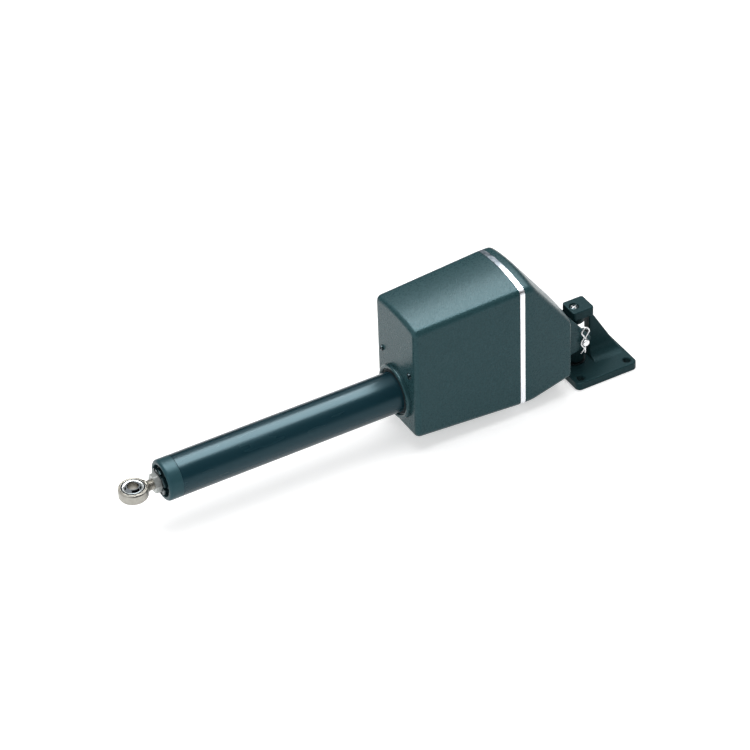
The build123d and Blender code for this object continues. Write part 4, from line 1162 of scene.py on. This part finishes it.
class DRIVE_OT_rod_end(Operator):
    """Rod end: forged eye and threaded shank, race insert and chromed ball"""

    bl_idname = "drive.rod_end"
    bl_label = "Rod end"
    ball_radius, ball_gap = 11.1 * MM, 0.05 * MM
    bore_radius, bore_edge = 6.0 * MM, 0.45 * MM
    insert_mouth, seal_width = 10.2 * MM, 1.5 * MM
    neck_start, neck_flare, thread_depth = 13.6 * MM, 2.6 * MM, 0.95 * MM

    def execute(self, context):
        size = tube_sizes()
        centre = (EYE_X, 0.0, THRUST_Z)
        outer, race = high("rod_end_housing").y, high("rod_end_race").y
        half = high("rod_end_housing").z - THRUST_Z
        shells = [
            (turned("Z", centre, self.eye(half, race, outer), 128), "loop"),
            (self.shank(EYE_X + outer, size), "cap"),
        ]
        made = piece(
            "rod_end_eye", "rod", shells, [forged_eye_steel()], ["rod_end_housing"], 40.0
        )
        even_shading(made)

        shells = [(turned("Z", centre, self.insert(half, race)), "loop", 0)]
        # The two dark rubber rings at the insert's faces are painted shade for the dark line between insert
        # and eye
        for start in (half - 0.5 * MM, 0.1 * MM - half):
            seal = ring_profile(start, start + 0.4 * MM, race - 0.05 * MM, race - 1.52 * MM, 0.1 * MM)
            shells.append((turned("Z", centre, seal), "loop", 1))
        piece(
            "race_insert", "rod", shells, [race_steel(), moulded_rubber()], ["rod_end_race"], 40.0
        )

        width = high("rod_end_ball").z - THRUST_Z
        end, bore = width - 0.5 * MM, self.bore_radius
        liner = ring_profile(-end, end, bore + 0.3 * MM, bore - 0.02 * MM, 0.1 * MM)
        shells = [
            (turned("Z", centre, self.ball(width), 128), "loop", 0),
            (turned("Z", centre, liner), "loop", 1),
        ]
        piece(
            "chrome_ball", "eye_ball", shells, [polished_ball(), bore_steel()], ["rod_end_ball"],
            30.0,
        )
        return {"FINISHED"}

    def eye(self, half, race, outer):
        """Profile of the forged eye: a rounded rim, a groove in either face and a lip round the insert."""
        lip = [
            (-half, race), (half, race), (half, race + 0.7 * MM), (half - 1.5 * MM, race + 1.0 * MM),
            (half - 1.5 * MM, outer - 1.7 * MM), (half, outer - 1.4 * MM), (half, outer - 0.9 * MM),
            (half - 1.6 * MM, outer), (0.0, outer),
        ]
        mirrored = [(-station, reach) for station, reach in lip[:1:-1]][1:]
        return rounded(lip + mirrored, 0.25 * MM, steps=3)[0]

    def insert(self, half, race):
        """Profile of the insert: a bowl of reach sqrt(r * r - z * z) round the ball, and a step at either
        face for a dark rubber ring, painted shade for the dark line between insert and eye."""
        rise = np.linspace(-half + 0.3 * MM, half - 0.3 * MM, 15)
        bowl = np.stack([rise, np.sqrt((self.ball_radius + self.ball_gap) ** 2 - rise**2)], 1)
        step = [
            (half, self.insert_mouth), (half, race - 1.6 * MM), (half - 0.6 * MM, race - self.seal_width),
            (half - 0.6 * MM, race - 0.02 * MM),
        ]
        return np.vstack([bowl, step, [(-station, reach) for station, reach in step[::-1]]])

    def ball(self, width):
        """Profile of the ball: r * sin a and r * cos a up to its flat faces, and a bore with broken
        edges."""
        radius, bore = self.ball_radius, self.bore_radius
        limit = math.asin(width / radius)
        arc = np.linspace(-limit, limit, 33)
        skin = np.stack([radius * np.sin(arc), radius * np.cos(arc)], 1)
        flat = math.sqrt(radius**2 - width**2)
        hole = [(width, flat - 0.25 * MM), (width, bore + self.bore_edge), (width - self.bore_edge, bore)]
        return np.vstack([skin, hole, [(-station, reach) for station, reach in hole[::-1]]])

    def shank(self, eye_end, size):
        """Neck and thread: the neck's radius falls along a quarter cosine from the eye, and the thread's
        is its mean plus depth times a triangle wave of station over pitch less angle over a turn."""
        radius, pitch = size.thread_radius, size.thread_pitch
        angle = np.linspace(0, TURN, 48, endpoint=False)
        start, thread_start = EYE_X + self.neck_start, eye_end + 1.6 * MM
        end = high("rod_end_housing").x
        neck = np.linspace(0, 1, 9)
        neck_reach = radius - 0.6 * MM + self.neck_flare * np.cos(neck * math.pi / 2) ** 1.5
        neck_station = start + (thread_start - start) * neck
        turns = np.arange(thread_start + 0.2 * MM, end - 0.3 * MM, pitch / 8)
        wave = 2 * np.abs(((turns[:, None] - start) / pitch - angle / TURN) % 1 - 0.5)
        thread = radius - self.thread_depth * (1 - wave)
        run_out = np.clip((end - turns[:, None]) / (1.5 * MM), 0.0, 1.0) * 1.0 * MM
        thread = np.minimum(thread, radius - 1.0 * MM + run_out)
        along = np.hstack([neck_station, turns, [end]])[:, None]
        reach = np.vstack([neck_reach[:, None] + 0 * angle, thread, 0 * angle + radius - 1.1 * MM])
        return around("X", THRUST_LINE, along, reach, angle)


class DRIVE_OT_mounting_foot(Operator):
    """Cast foot: drilled plate, flared web and overhanging arm"""

    bl_idname = "drive.mounting_foot"
    bl_label = "Mounting foot"
    arm_corner, web_corner = 3.0 * MM, 1.5 * MM
    top_flare = 4.0 * MM
    recess_radius, recess_depth, recess_chamfer = 5.4 * MM, 4.5 * MM, 0.8 * MM
    hole_chamfer = 1.0 * MM
    overlap = 1.0 * MM

    def execute(self, context):
        size = foot_sizes()
        box_low, box_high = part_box("mounting_foot")
        arm_floor = box_high.z - size.arm_thickness
        front, rear = -size.arm_front_x, size.arm_rear_x
        side, half_width = size.arm_half_width, box_high.y
        plate_corners = rectangle(box_low.x, -half_width, box_high.x, half_width)
        plate_outline = rounded(plate_corners, size.plate_corner, steps=8)
        arm_outline = rounded(rectangle(front, -side, rear, side), self.arm_corner, steps=8)
        plate = carried("Z", PIVOT_LINE, plate_outline, slab(0.0, size.plate_thickness, size.edge))
        arm = carried("Z", PIVOT_LINE, arm_outline, slab(arm_floor, box_high.z, size.edge))
        made = piece(
            "foot_casting", "foot", [(plate, "cap"), (arm, "cap")], [casting_paint()], ["mounting_foot"],
            32.0,
        )
        cutters = self.bolt_holes(size, (box_low.x + box_high.x) / 2)
        cutters.append((self.recess(box_high.z), "cap"))
        web = piece("foot_web", "foot", [(self.web(size, arm_floor, rear), "cap")], [])
        even_shading(joined(drilled(made, cutters, 32.0), web))
        return {"FINISHED"}

    def bolt_holes(self, size, middle_x):
        """Cutters of the four bolt holes, each with a chamfer at the top."""
        thick, radius, wide = size.plate_thickness, size.hole_radius, size.hole_radius + self.hole_chamfer
        profile = [
            (-self.overlap, radius), (thick - 0.7 * MM, radius), (thick + 0.3 * MM, wide),
            (thick + self.overlap, wide),
        ]
        cutters = []
        for end in (-1, 1):
            for side in (-1, 1):
                centre = (middle_x + end * size.hole_pitch_x / 2, side * size.hole_pitch_y / 2, 0.0)
                cutters.append((turned("Z", centre, profile, 48), "cap"))
        return cutters

    def recess(self, top):
        """Cutter of the screw's recess in the arm, with a chamfer at the top."""
        radius, wide = self.recess_radius, self.recess_radius + self.recess_chamfer
        profile = [
            (top - self.recess_depth, radius), (top - 0.5 * MM, radius), (top + 0.3 * MM, wide),
            (top + self.overlap, wide),
        ]
        return turned("Z", PIVOT_LINE, profile, 48)

    def web(self, size, arm_floor, rear):
        """Flared web: at each height a rounded rectangle from the front face to the sloping rear edge.

        Its half thickness is the web's plus flare * (1 - sin a) where the height over the plate is
        flare * (1 - cos a), and the same with a smaller flare under the arm.
        """
        tall = arm_floor - size.plate_thickness
        angle = np.linspace(0, math.pi / 2, 9)
        fall, spread = 1 - np.cos(angle), 1 - np.sin(angle)
        low_rise, low_half = size.web_flare * fall, size.web_flare * spread
        top_rise, top_half = tall - self.top_flare * fall[::-1], self.top_flare * spread[::-1]
        rise = np.hstack([[-self.overlap], low_rise, top_rise, [top_rise[-1] + self.overlap]])[:, None]
        half = size.web_half + np.hstack([[low_half[0]], low_half, top_half, [top_half[-1]]])[:, None]
        toe = size.web_toe_x + (rear - size.web_toe_x) * np.clip(rise / tall, 0.0, 1.0)
        front, radius = size.web_front_x, self.web_corner
        points, normals = rounded(rectangle(-1, -1, 1, 1), 0.0, steps=5)
        end, side = np.sign(points).T
        along = (front + toe) / 2 + end * ((toe - front) / 2 - radius) + normals[:, 0] * radius
        across = side * (half - radius) + normals[:, 1] * radius
        return placed("Z", size.plate_thickness + rise, along, across)


class DRIVE_OT_swivel(Operator):
    """Swivel block between foot and clevis, and the washer under it"""

    bl_idname = "drive.swivel"
    bl_label = "Swivel"
    body_radius, body_top = 11.0 * MM, 44.0 * MM
    boss_radius, boss_height = 12.0 * MM, 6.0 * MM
    knuckle_radius = 8.0 * MM
    column_front, column_rear, column_half = -12.0 * MM, -3.5 * MM, 10.0 * MM
    column_floor = 28.0 * MM

    def execute(self, context):
        floor, top = low("swivel_block").z, high("swivel_block").z
        half_width = high("swivel_block").y
        front, rear, half = self.column_front, self.column_rear, self.column_half
        column = rounded(rectangle(front, -half, rear, half), 2.0 * MM)
        rise = slab(self.column_floor, top - 0.5 * MM, 0.5 * MM)
        body = bar_profile(floor, self.body_top, self.body_radius, 1.0 * MM)
        knuckle = ring_profile(-half_width, half_width, self.knuckle_radius, high("clevis_bush").x, 0.6 * MM)
        bush = high("upper_pivot_bush").y
        boss = ring_profile(top - self.boss_height, top, self.boss_radius, bush, 0.8 * MM)
        shells = [
            (turned("Z", PIVOT_LINE, body, 64), "cap"),
            (carried("Z", PIVOT_LINE, column, rise), "cap"),
            (turned("Y", (0, 0, PIN_Z), knuckle, 64), "loop"),
            (turned("Z", PIVOT_LINE, boss, 64), "loop"),
        ]
        # The swivel's dark paint is painted shade for the shade under the arm
        made = piece(
            "swivel_casting", "swivel", shells, [swivel_shade_paint()], ["swivel_block"]
        )
        even_shading(made)
        washer_low, washer_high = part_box("thrust_washer")
        ring = ring_profile(washer_low.z, washer_high.z, washer_high.y, high("lower_pivot_pin").y)
        washer = piece(
            "plate_washer", "foot", [(turned("Z", PIVOT_LINE, ring, 64), "loop")], [blackened_steel()],
            ["thrust_washer"],
        )
        even_shading(washer)
        return {"FINISHED"}


class DRIVE_OT_pivot_screw(Operator):
    """Screw in the arm's recess: its head is dark, and its stem and the lining of its cross recess are
    bright, the lining a painted highlight for the glints in the cross
    """

    bl_idname = "drive.pivot_screw"
    bl_label = "Pivot screw"
    head_height = 4.0 * MM
    stem_radius = 4.0 * MM
    arm, slot = 3.9 * MM, 0.95 * MM
    turn = math.radians(20.0)

    def execute(self, context):
        box_low, box_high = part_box("pivot_screw")
        seat = box_high.z - self.head_height
        stem = bar_profile(box_low.z, seat + 0.5 * MM, self.stem_radius, 0.5 * MM)
        # The bright lining of the cross is a painted highlight for the glints in the recess
        shells = [
            (self.head(seat, box_high.z, box_high.y), "cap", 0),
            (self.glint_lining(box_high.z), "cap", 1),
            (turned("Z", PIVOT_LINE, stem, 48), "cap", 1),
        ]
        finishes = [glossy_black(), plated_bright()]
        even_shading(piece("arm_screw", "foot", shells, finishes, ["pivot_screw"], 30.0))
        return {"FINISHED"}

    def cross(self):
        """Angles and reach of the cross: at angle a from an arm's middle it reaches the lesser of the
        arm's length over cos a and the slot's half width over sin a."""
        corner, quarter = math.atan(self.slot / self.arm), math.pi / 4
        local = np.tile([-quarter, -0.6, -0.4, -corner, -0.12, 0.0, 0.12, corner, 0.4, 0.6], 4)
        angle = self.turn + np.repeat(np.arange(4) * TURN / 4, len(local) // 4) + local
        across = self.slot / np.maximum(np.abs(np.sin(local)), 1e-6)
        return angle, np.minimum(self.arm / np.cos(local), across)

    def head(self, seat, top, radius):
        """Head whose recess narrows toward its floor."""
        angle, cross = self.cross()
        rim = np.array([
            (seat, 0.0), (seat, radius), (top - 1.0 * MM, radius), (top - 0.7 * MM, radius - 0.05 * MM),
            (top - 0.3 * MM, radius - 0.35 * MM), (top, radius - 0.9 * MM),
        ])
        share, depth = np.array([(1.0, 0.0), (0.96, 0.15), (0.8, 2.2), (0.0, 2.2)]).T[:, :, None]
        widening = np.array([[0.15], [0.0], [0.0], [0.0]]) * MM
        height = np.vstack([rim[:, :1], top - depth * MM])
        reach = np.vstack([rim[:, 1:] + 0 * angle, cross * share + widening])
        return around("Z", PIVOT_LINE, height, reach, angle)

    def glint_lining(self, top):
        """Bright metal inside the cross, just proud of the recess's walls and floor: a painted highlight that
        stands for the glints in the recess.
        """
        angle, cross = self.cross()
        rows = np.array([(0.0, 2.3), (0.9, 2.3), (0.9, 0.9), (0.82, 0.8), (0.0, 0.8)])
        share, depth = rows.T[:, :, None]
        return around("Z", PIVOT_LINE, top - depth * MM, cross * share, angle)


class DRIVE_OT_clevis_pin(Operator):
    """Clevis pin through the ears, and the spring clip that keeps it"""

    bl_idname = "drive.clevis_pin"
    bl_label = "Clevis pin"
    shank_radius, head_height = 4.0 * MM, 3.0 * MM

    def execute(self, context):
        box_low, box_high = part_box("clevis_pin")
        start, end = box_low.y, box_high.y
        radius, head, seat = self.shank_radius, (box_high.z - box_low.z) / 2, end - self.head_height
        profile = eased([
            (start, 0.0, 0.0), (start, radius, 0.9 * MM), (seat, radius, 0.2 * MM), (seat, head, 0.4 * MM),
            (end, head, 1.0 * MM), (end, 0.0, 0.0),
        ], closed=False)
        pin = piece(
            "clevis_bolt", "drive", [(turned("Y", (0, 0, PIN_Z), profile, 64), "cap")],
            [plated_bright()], ["clevis_pin"], 40.0,
        )
        even_shading(pin)
        clip = wire(self.clip_path(), foot_sizes().clip_wire, middle("pin_clip").y)
        piece(
            "spring_clip", "drive", [(clip, "cap")], [plated_bright()], ["pin_clip"], 60.0
        )
        return {"FINISHED"}

    def clip_path(self):
        """Knots of the clip's wire: up the straight leg through the pin, round the eye and down the
        waved leg."""
        straight = [(0.0, -13.5), (0.0, -9.0), (0.0, -4.5), (0.0, 0.0), (0.0, 4.0)]
        eye = [
            (0.6, 7.4), (3.0, 10.8), (4.8, 14.0), (3.4, 17.4), (0.0, 20.2), (-3.4, 17.4), (-4.8, 14.0),
            (-3.2, 10.6),
        ]
        waved = [
            (-1.5, 7.4), (-3.9, 4.0), (-5.1, 0.0), (-3.9, -4.0), (-1.5, -7.4), (-2.6, -10.0),
            (-5.4, -12.6),
        ]
        return np.array(straight + eye + waved) * MM + (0.0, PIN_Z)


class DRIVE_OT_cable_gland(Operator):
    """Cable gland in the tail: hexagon and ribbed nose with an open mouth"""

    bl_idname = "drive.cable_gland"
    bl_label = "Cable gland"
    hexagon_length, nose_start, mouth_floor = 5.0 * MM, 4.0 * MM, 4.5 * MM
    grip_radius, tip_radius, mouth_radius = 6.4 * MM, 4.6 * MM, 3.0 * MM
    ribs, rib_height = 24, 0.25 * MM

    def execute(self, context):
        box_low, box_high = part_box("cable_gland")
        centre = (0.0, middle("cable_gland").y, middle("cable_gland").z)
        flat = (box_high.z - box_low.z) / 2
        corner = flat / math.cos(HEXAGON_SIDE / 2)
        corners = [(corner * math.cos(a), corner * math.sin(a)) for a in np.arange(6) * HEXAGON_SIDE]
        collar = slab(REAR_WALL_X, REAR_WALL_X + self.hexagon_length, 0.5 * MM)
        stem = ring_profile(box_low.x, REAR_WALL_X + 0.5 * MM, 5.95 * MM, self.mouth_radius)
        shells = [
            (self.nose(centre, box_high.x), "cap"),
            (carried("X", centre, rounded(corners, 0.8 * MM, steps=3), collar), "cap"),
            (turned("X", centre, stem, 48), "loop"),
        ]
        piece("gland", "drive", shells, [gland_nylon()], ["cable_gland"], 40.0)
        return {"FINISHED"}

    def nose(self, centre, tip):
        """Nose with an open mouth: the profile's reach, plus rib height * cos(ribs * a) along its
        grip."""
        start, floor = REAR_WALL_X + self.nose_start, REAR_WALL_X + self.mouth_floor
        profile = eased([
            (start, 0.0, 0.0), (start, self.grip_radius, 0.0),
            (REAR_WALL_X + 6.0 * MM, self.grip_radius, 0.3 * MM),
            (REAR_WALL_X + 12.0 * MM, 5.8 * MM, 1.0 * MM), (tip, self.tip_radius, 0.6 * MM),
            (tip, self.mouth_radius, 0.3 * MM), (floor, self.mouth_radius, 0.0), (floor, 0.0, 0.0),
        ], closed=False, steps=4)
        station, reach = profile.T[:, :, None]
        angle = np.linspace(0, TURN, 144, endpoint=False)
        on_grip = (reach > 5.5 * MM) & (station > REAR_WALL_X + 5.5 * MM)
        rib = self.rib_height * np.cos(self.ribs * angle) * on_grip
        return around("X", centre, station, reach + rib, angle)


INNER_FINISHES = {
    "motor_can": motor_enamel,
    "motor_end_cap": bare_aluminium,
    "motor_flange": bare_aluminium,
    "motor_screws": blackened_steel,
    "motor_shaft": ground_steel,
    "drive_pulley": bare_aluminium,
    "driven_pulley": bare_aluminium,
    "toothed_belt": moulded_rubber,
    "ball_screw": ground_steel,
    "ball_nut": ground_steel,
    "bearing_housing": bare_aluminium,
    "thrust_bearing": ground_steel,
    "rear_bearing": ground_steel,
    "clutch_rotor": phosphated_shell,
    "clutch_coil": phosphated_shell,
    "cover_pillars": bright_zinc,
    "casing_screws": blackened_steel,
    "rod_guide_bush": sintered_bronze,
    "upper_pivot_bush": sintered_bronze,
    "lower_pivot_bush": blackened_steel,
    "clevis_bush": sintered_bronze,
    "lower_pivot_pin": ground_steel,
}


class DRIVE_OT_inner_parts(Operator):
    """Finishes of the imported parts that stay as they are: motor, belt, clutch, screw, bearings, bushes"""

    bl_idname = "drive.inner_parts"
    bl_label = "Inner parts"

    def execute(self, context):
        for node, maker in INNER_FINISHES.items():
            part = frame["nodes"][node]
            part.data.materials.clear()
            part.data.materials.append(maker())
        return {"FINISHED"}


# Studio

def softbox(name, spot, aim, width, depth, watts):
    """Rectangular lamp at the spot, facing its aim."""
    lamp = bpy.data.lights.new(name, "AREA")
    lamp.shape, lamp.size, lamp.size_y, lamp.energy = "RECTANGLE", width, depth, watts
    holder = bpy.data.objects.new(name, lamp)
    bpy.context.scene.collection.objects.link(holder)
    holder.location = spot
    holder.rotation_euler = (Vector(aim) - Vector(spot)).to_track_quat("-Z", "Y").to_euler()
    return holder


def stage_card(name, corners, material):
    """Flat four-cornered piece of the stage."""
    mesh = bpy.data.meshes.new(name)
    mesh.from_pydata(corners, [], [(0, 1, 2, 3)])
    mesh.materials.append(material)
    card = bpy.data.objects.new(name, mesh)
    bpy.context.scene.collection.objects.link(card)
    return card


class DRIVE_OT_stage(Operator):
    """Floor, lamps, world and camera"""

    bl_idname = "drive.stage"
    bl_label = "Studio"
    floor_reach, floor_drop = 12.0, 0.05 * MM
    floor_grey, floor_glow = 0.86, 0.45
    flags = {
        "front_flag": (1.3, (-1.5, 0.22), (-0.47, 1.2)),
        "back_flag": (2.6, (1.6, 0.0), (1.6, 0.95)),
    }
    lamp_x, lamp_width, lean = -0.1, 1.1, 0.01 * MM
    sensor_width = 36.0

    def execute(self, context):
        scene = context.scene
        self.floor()
        self.gloss_flags()
        self.world(scene)
        self.lamps(scene.drive_studio)
        self.camera(scene)
        scene.view_settings.view_transform = "Standard"
        return {"FINISHED"}

    def floor(self):
        """Pale floor that reads as white and keeps the shadow."""
        pale = bpy.data.materials.new("pale_floor")
        pale.use_nodes = True
        nodes, links = pale.node_tree.nodes, pale.node_tree.links
        nodes.clear()
        matt = nodes.new("ShaderNodeBsdfDiffuse")
        matt.inputs["Color"].default_value = (*[self.floor_grey] * 3, 1.0)
        glow = nodes.new("ShaderNodeEmission")
        links.new(self.seen(nodes, links, 0.0, self.floor_glow), glow.inputs["Strength"])
        both = nodes.new("ShaderNodeAddShader")
        links.new(matt.outputs[0], both.inputs[0])
        links.new(glow.outputs[0], both.inputs[1])
        out = nodes.new("ShaderNodeOutputMaterial")
        links.new(both.outputs[0], out.inputs["Surface"])
        square = np.array([(-1, -1, 0), (1, -1, 0), (1, 1, 0), (-1, 1, 0)])
        stage_card("floor", square * self.floor_reach - (0, 0, self.floor_drop), pale)

    def gloss_flags(self):
        """Dark cards before and behind the drive, seen only in gloss: they keep the room's front and its
        horizon out of the paint. Each has a half length, and a lower and an upper edge in Y and Z."""
        cloth = Finish("flag_cloth", (0.01, 0.01, 0.01), 0.9, Specular_IOR_Level=0.0).material
        for name, (side, lower, upper) in self.flags.items():
            corners = [(-side, *lower), (side, *lower), (side, *upper), (-side, *upper)]
            card = stage_card(name, corners, cloth)
            card.visible_camera = card.visible_diffuse = False
            card.visible_shadow = card.visible_transmission = False

    def seen(self, nodes, links, unseen_value, seen_value):
        """A value for rays from the camera, mirrors and glass, and another for the light on things."""
        path = nodes.new("ShaderNodeLightPath")
        total = path.outputs["Is Camera Ray"]
        for ray in ("Is Glossy Ray", "Is Transmission Ray"):
            either = nodes.new("ShaderNodeMath")
            either.operation = "MAXIMUM"
            links.new(total, either.inputs[0])
            links.new(path.outputs[ray], either.inputs[1])
            total = either.outputs[0]
        blend = nodes.new("ShaderNodeMapRange")
        links.new(total, blend.inputs["Value"])
        blend.inputs["To Min"].default_value = unseen_value
        blend.inputs["To Max"].default_value = seen_value
        return blend.outputs["Result"]

    def world(self, scene):
        """White room: it reads as white to the camera and in gloss, and lights things more faintly."""
        room = bpy.data.worlds.new("room")
        room.use_nodes = True
        nodes, links = room.node_tree.nodes, room.node_tree.links
        background = nodes["Background"]
        background.inputs["Color"].default_value = (1.0, 1.0, 1.0, 1.0)
        strength = self.seen(nodes, links, scene.drive_studio.room_light, 1.0)
        links.new(strength, background.inputs["Strength"])
        scene.world = room

    def overhead(self, name, y, z, depth, watts):
        """Softbox that looks straight down; its aim leans a hair, which settles its turn."""
        spot, aim = (self.lamp_x, y, z), (self.lamp_x, y + self.lean, 0.0)
        return softbox(name, spot, aim, self.lamp_width, depth, watts)

    def lamps(self, studio):
        """Key and fill light the surfaces, and the lower sheen lamp shows only in gloss."""
        key = self.overhead("overhead_softbox", 0.25, 1.25, 1.3, studio.key_light)
        key.visible_glossy = False
        sheen = self.overhead("overhead_sheen", 0.31, 1.2, 1.08, studio.sheen_light)
        sheen.visible_diffuse = False
        fill = softbox("front_fill", (-1.55, -0.92, 0.6), (-0.22, 0.0, 0.08), 0.9, 0.9, studio.fill_light)
        fill.visible_glossy = False

    def camera(self, scene):
        """Camera whose pose and lens were fitted to the photograph's edges, square frame."""
        studio = scene.drive_studio
        turn, lift, roll = studio.azimuth, studio.elevation, studio.roll
        back = Vector((math.sin(turn) * math.cos(lift), -math.cos(turn) * math.cos(lift), math.sin(lift)))
        right = (-back).cross(Vector((0, 0, 1))).normalized()
        up = right.cross(-back)
        right, up = (
            math.cos(roll) * right + math.sin(roll) * up,
            math.cos(roll) * up - math.sin(roll) * right,
        )
        lens = bpy.data.cameras.new("photo_camera")
        lens.lens, lens.sensor_width = studio.lens, self.sensor_width
        lens.clip_start, lens.clip_end = 0.1, 60.0
        camera = bpy.data.objects.new("photo_camera", lens)
        scene.collection.objects.link(camera)
        spot = Vector((studio.target_x, 0.0, studio.target_z)) + back * studio.distance
        camera.matrix_world = Matrix.Translation(spot) @ Matrix((right, up, back)).transposed().to_4x4()
        scene.camera = camera


OPERATORS = (
    DRIVE_OT_front_cover, DRIVE_OT_rear_casing, DRIVE_OT_chassis_strip, DRIVE_OT_cover_screws,
    DRIVE_OT_tube_collar, DRIVE_OT_thrust_tube, DRIVE_OT_push_rod, DRIVE_OT_rod_end, DRIVE_OT_mounting_foot,
    DRIVE_OT_swivel, DRIVE_OT_pivot_screw, DRIVE_OT_clevis_pin, DRIVE_OT_cable_gland, DRIVE_OT_inner_parts,
    DRIVE_OT_stage,
)
HOLDERS = {
    "drive_housing": HousingSizes, "drive_tube": TubeSizes, "drive_foot": FootSizes,
    "drive_colours": FinishColours, "drive_studio": StudioSettings,
}
GROUPS = tuple(HOLDERS.values())


class DRIVE_PT_sidebar(Panel):
    """Buttons for the steps that build the drive"""

    bl_label = "Linear drive"
    bl_space_type = "VIEW_3D"
    bl_region_type = "UI"
    bl_category = "Linear drive"

    def draw(self, context):
        for operator in OPERATORS:
            self.layout.operator(operator.bl_idname)


def register():
    """Registers the classes and hangs their settings on the scene."""
    for cls in (*GROUPS, *OPERATORS, DRIVE_PT_sidebar):
        bpy.utils.register_class(cls)
    for name, group in HOLDERS.items():
        setattr(bpy.types.Scene, name, PointerProperty(type=group))


def unregister():
    """Takes the settings and the classes away again."""
    for name in HOLDERS:
        delattr(bpy.types.Scene, name)
    for cls in (DRIVE_PT_sidebar, *reversed(OPERATORS), *reversed(GROUPS)):
        bpy.utils.unregister_class(cls)


def main():
    """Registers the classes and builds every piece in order."""
    register()
    bpy.ops.drive.front_cover()
    bpy.ops.drive.rear_casing()
    bpy.ops.drive.chassis_strip()
    bpy.ops.drive.cover_screws()
    bpy.ops.drive.tube_collar()
    bpy.ops.drive.thrust_tube()
    bpy.ops.drive.push_rod()
    bpy.ops.drive.rod_end()
    bpy.ops.drive.mounting_foot()
    bpy.ops.drive.swivel()
    bpy.ops.drive.pivot_screw()
    bpy.ops.drive.clevis_pin()
    bpy.ops.drive.cable_gland()
    bpy.ops.drive.inner_parts()
    bpy.ops.drive.stage()


if __name__ == "__main__":
    main()
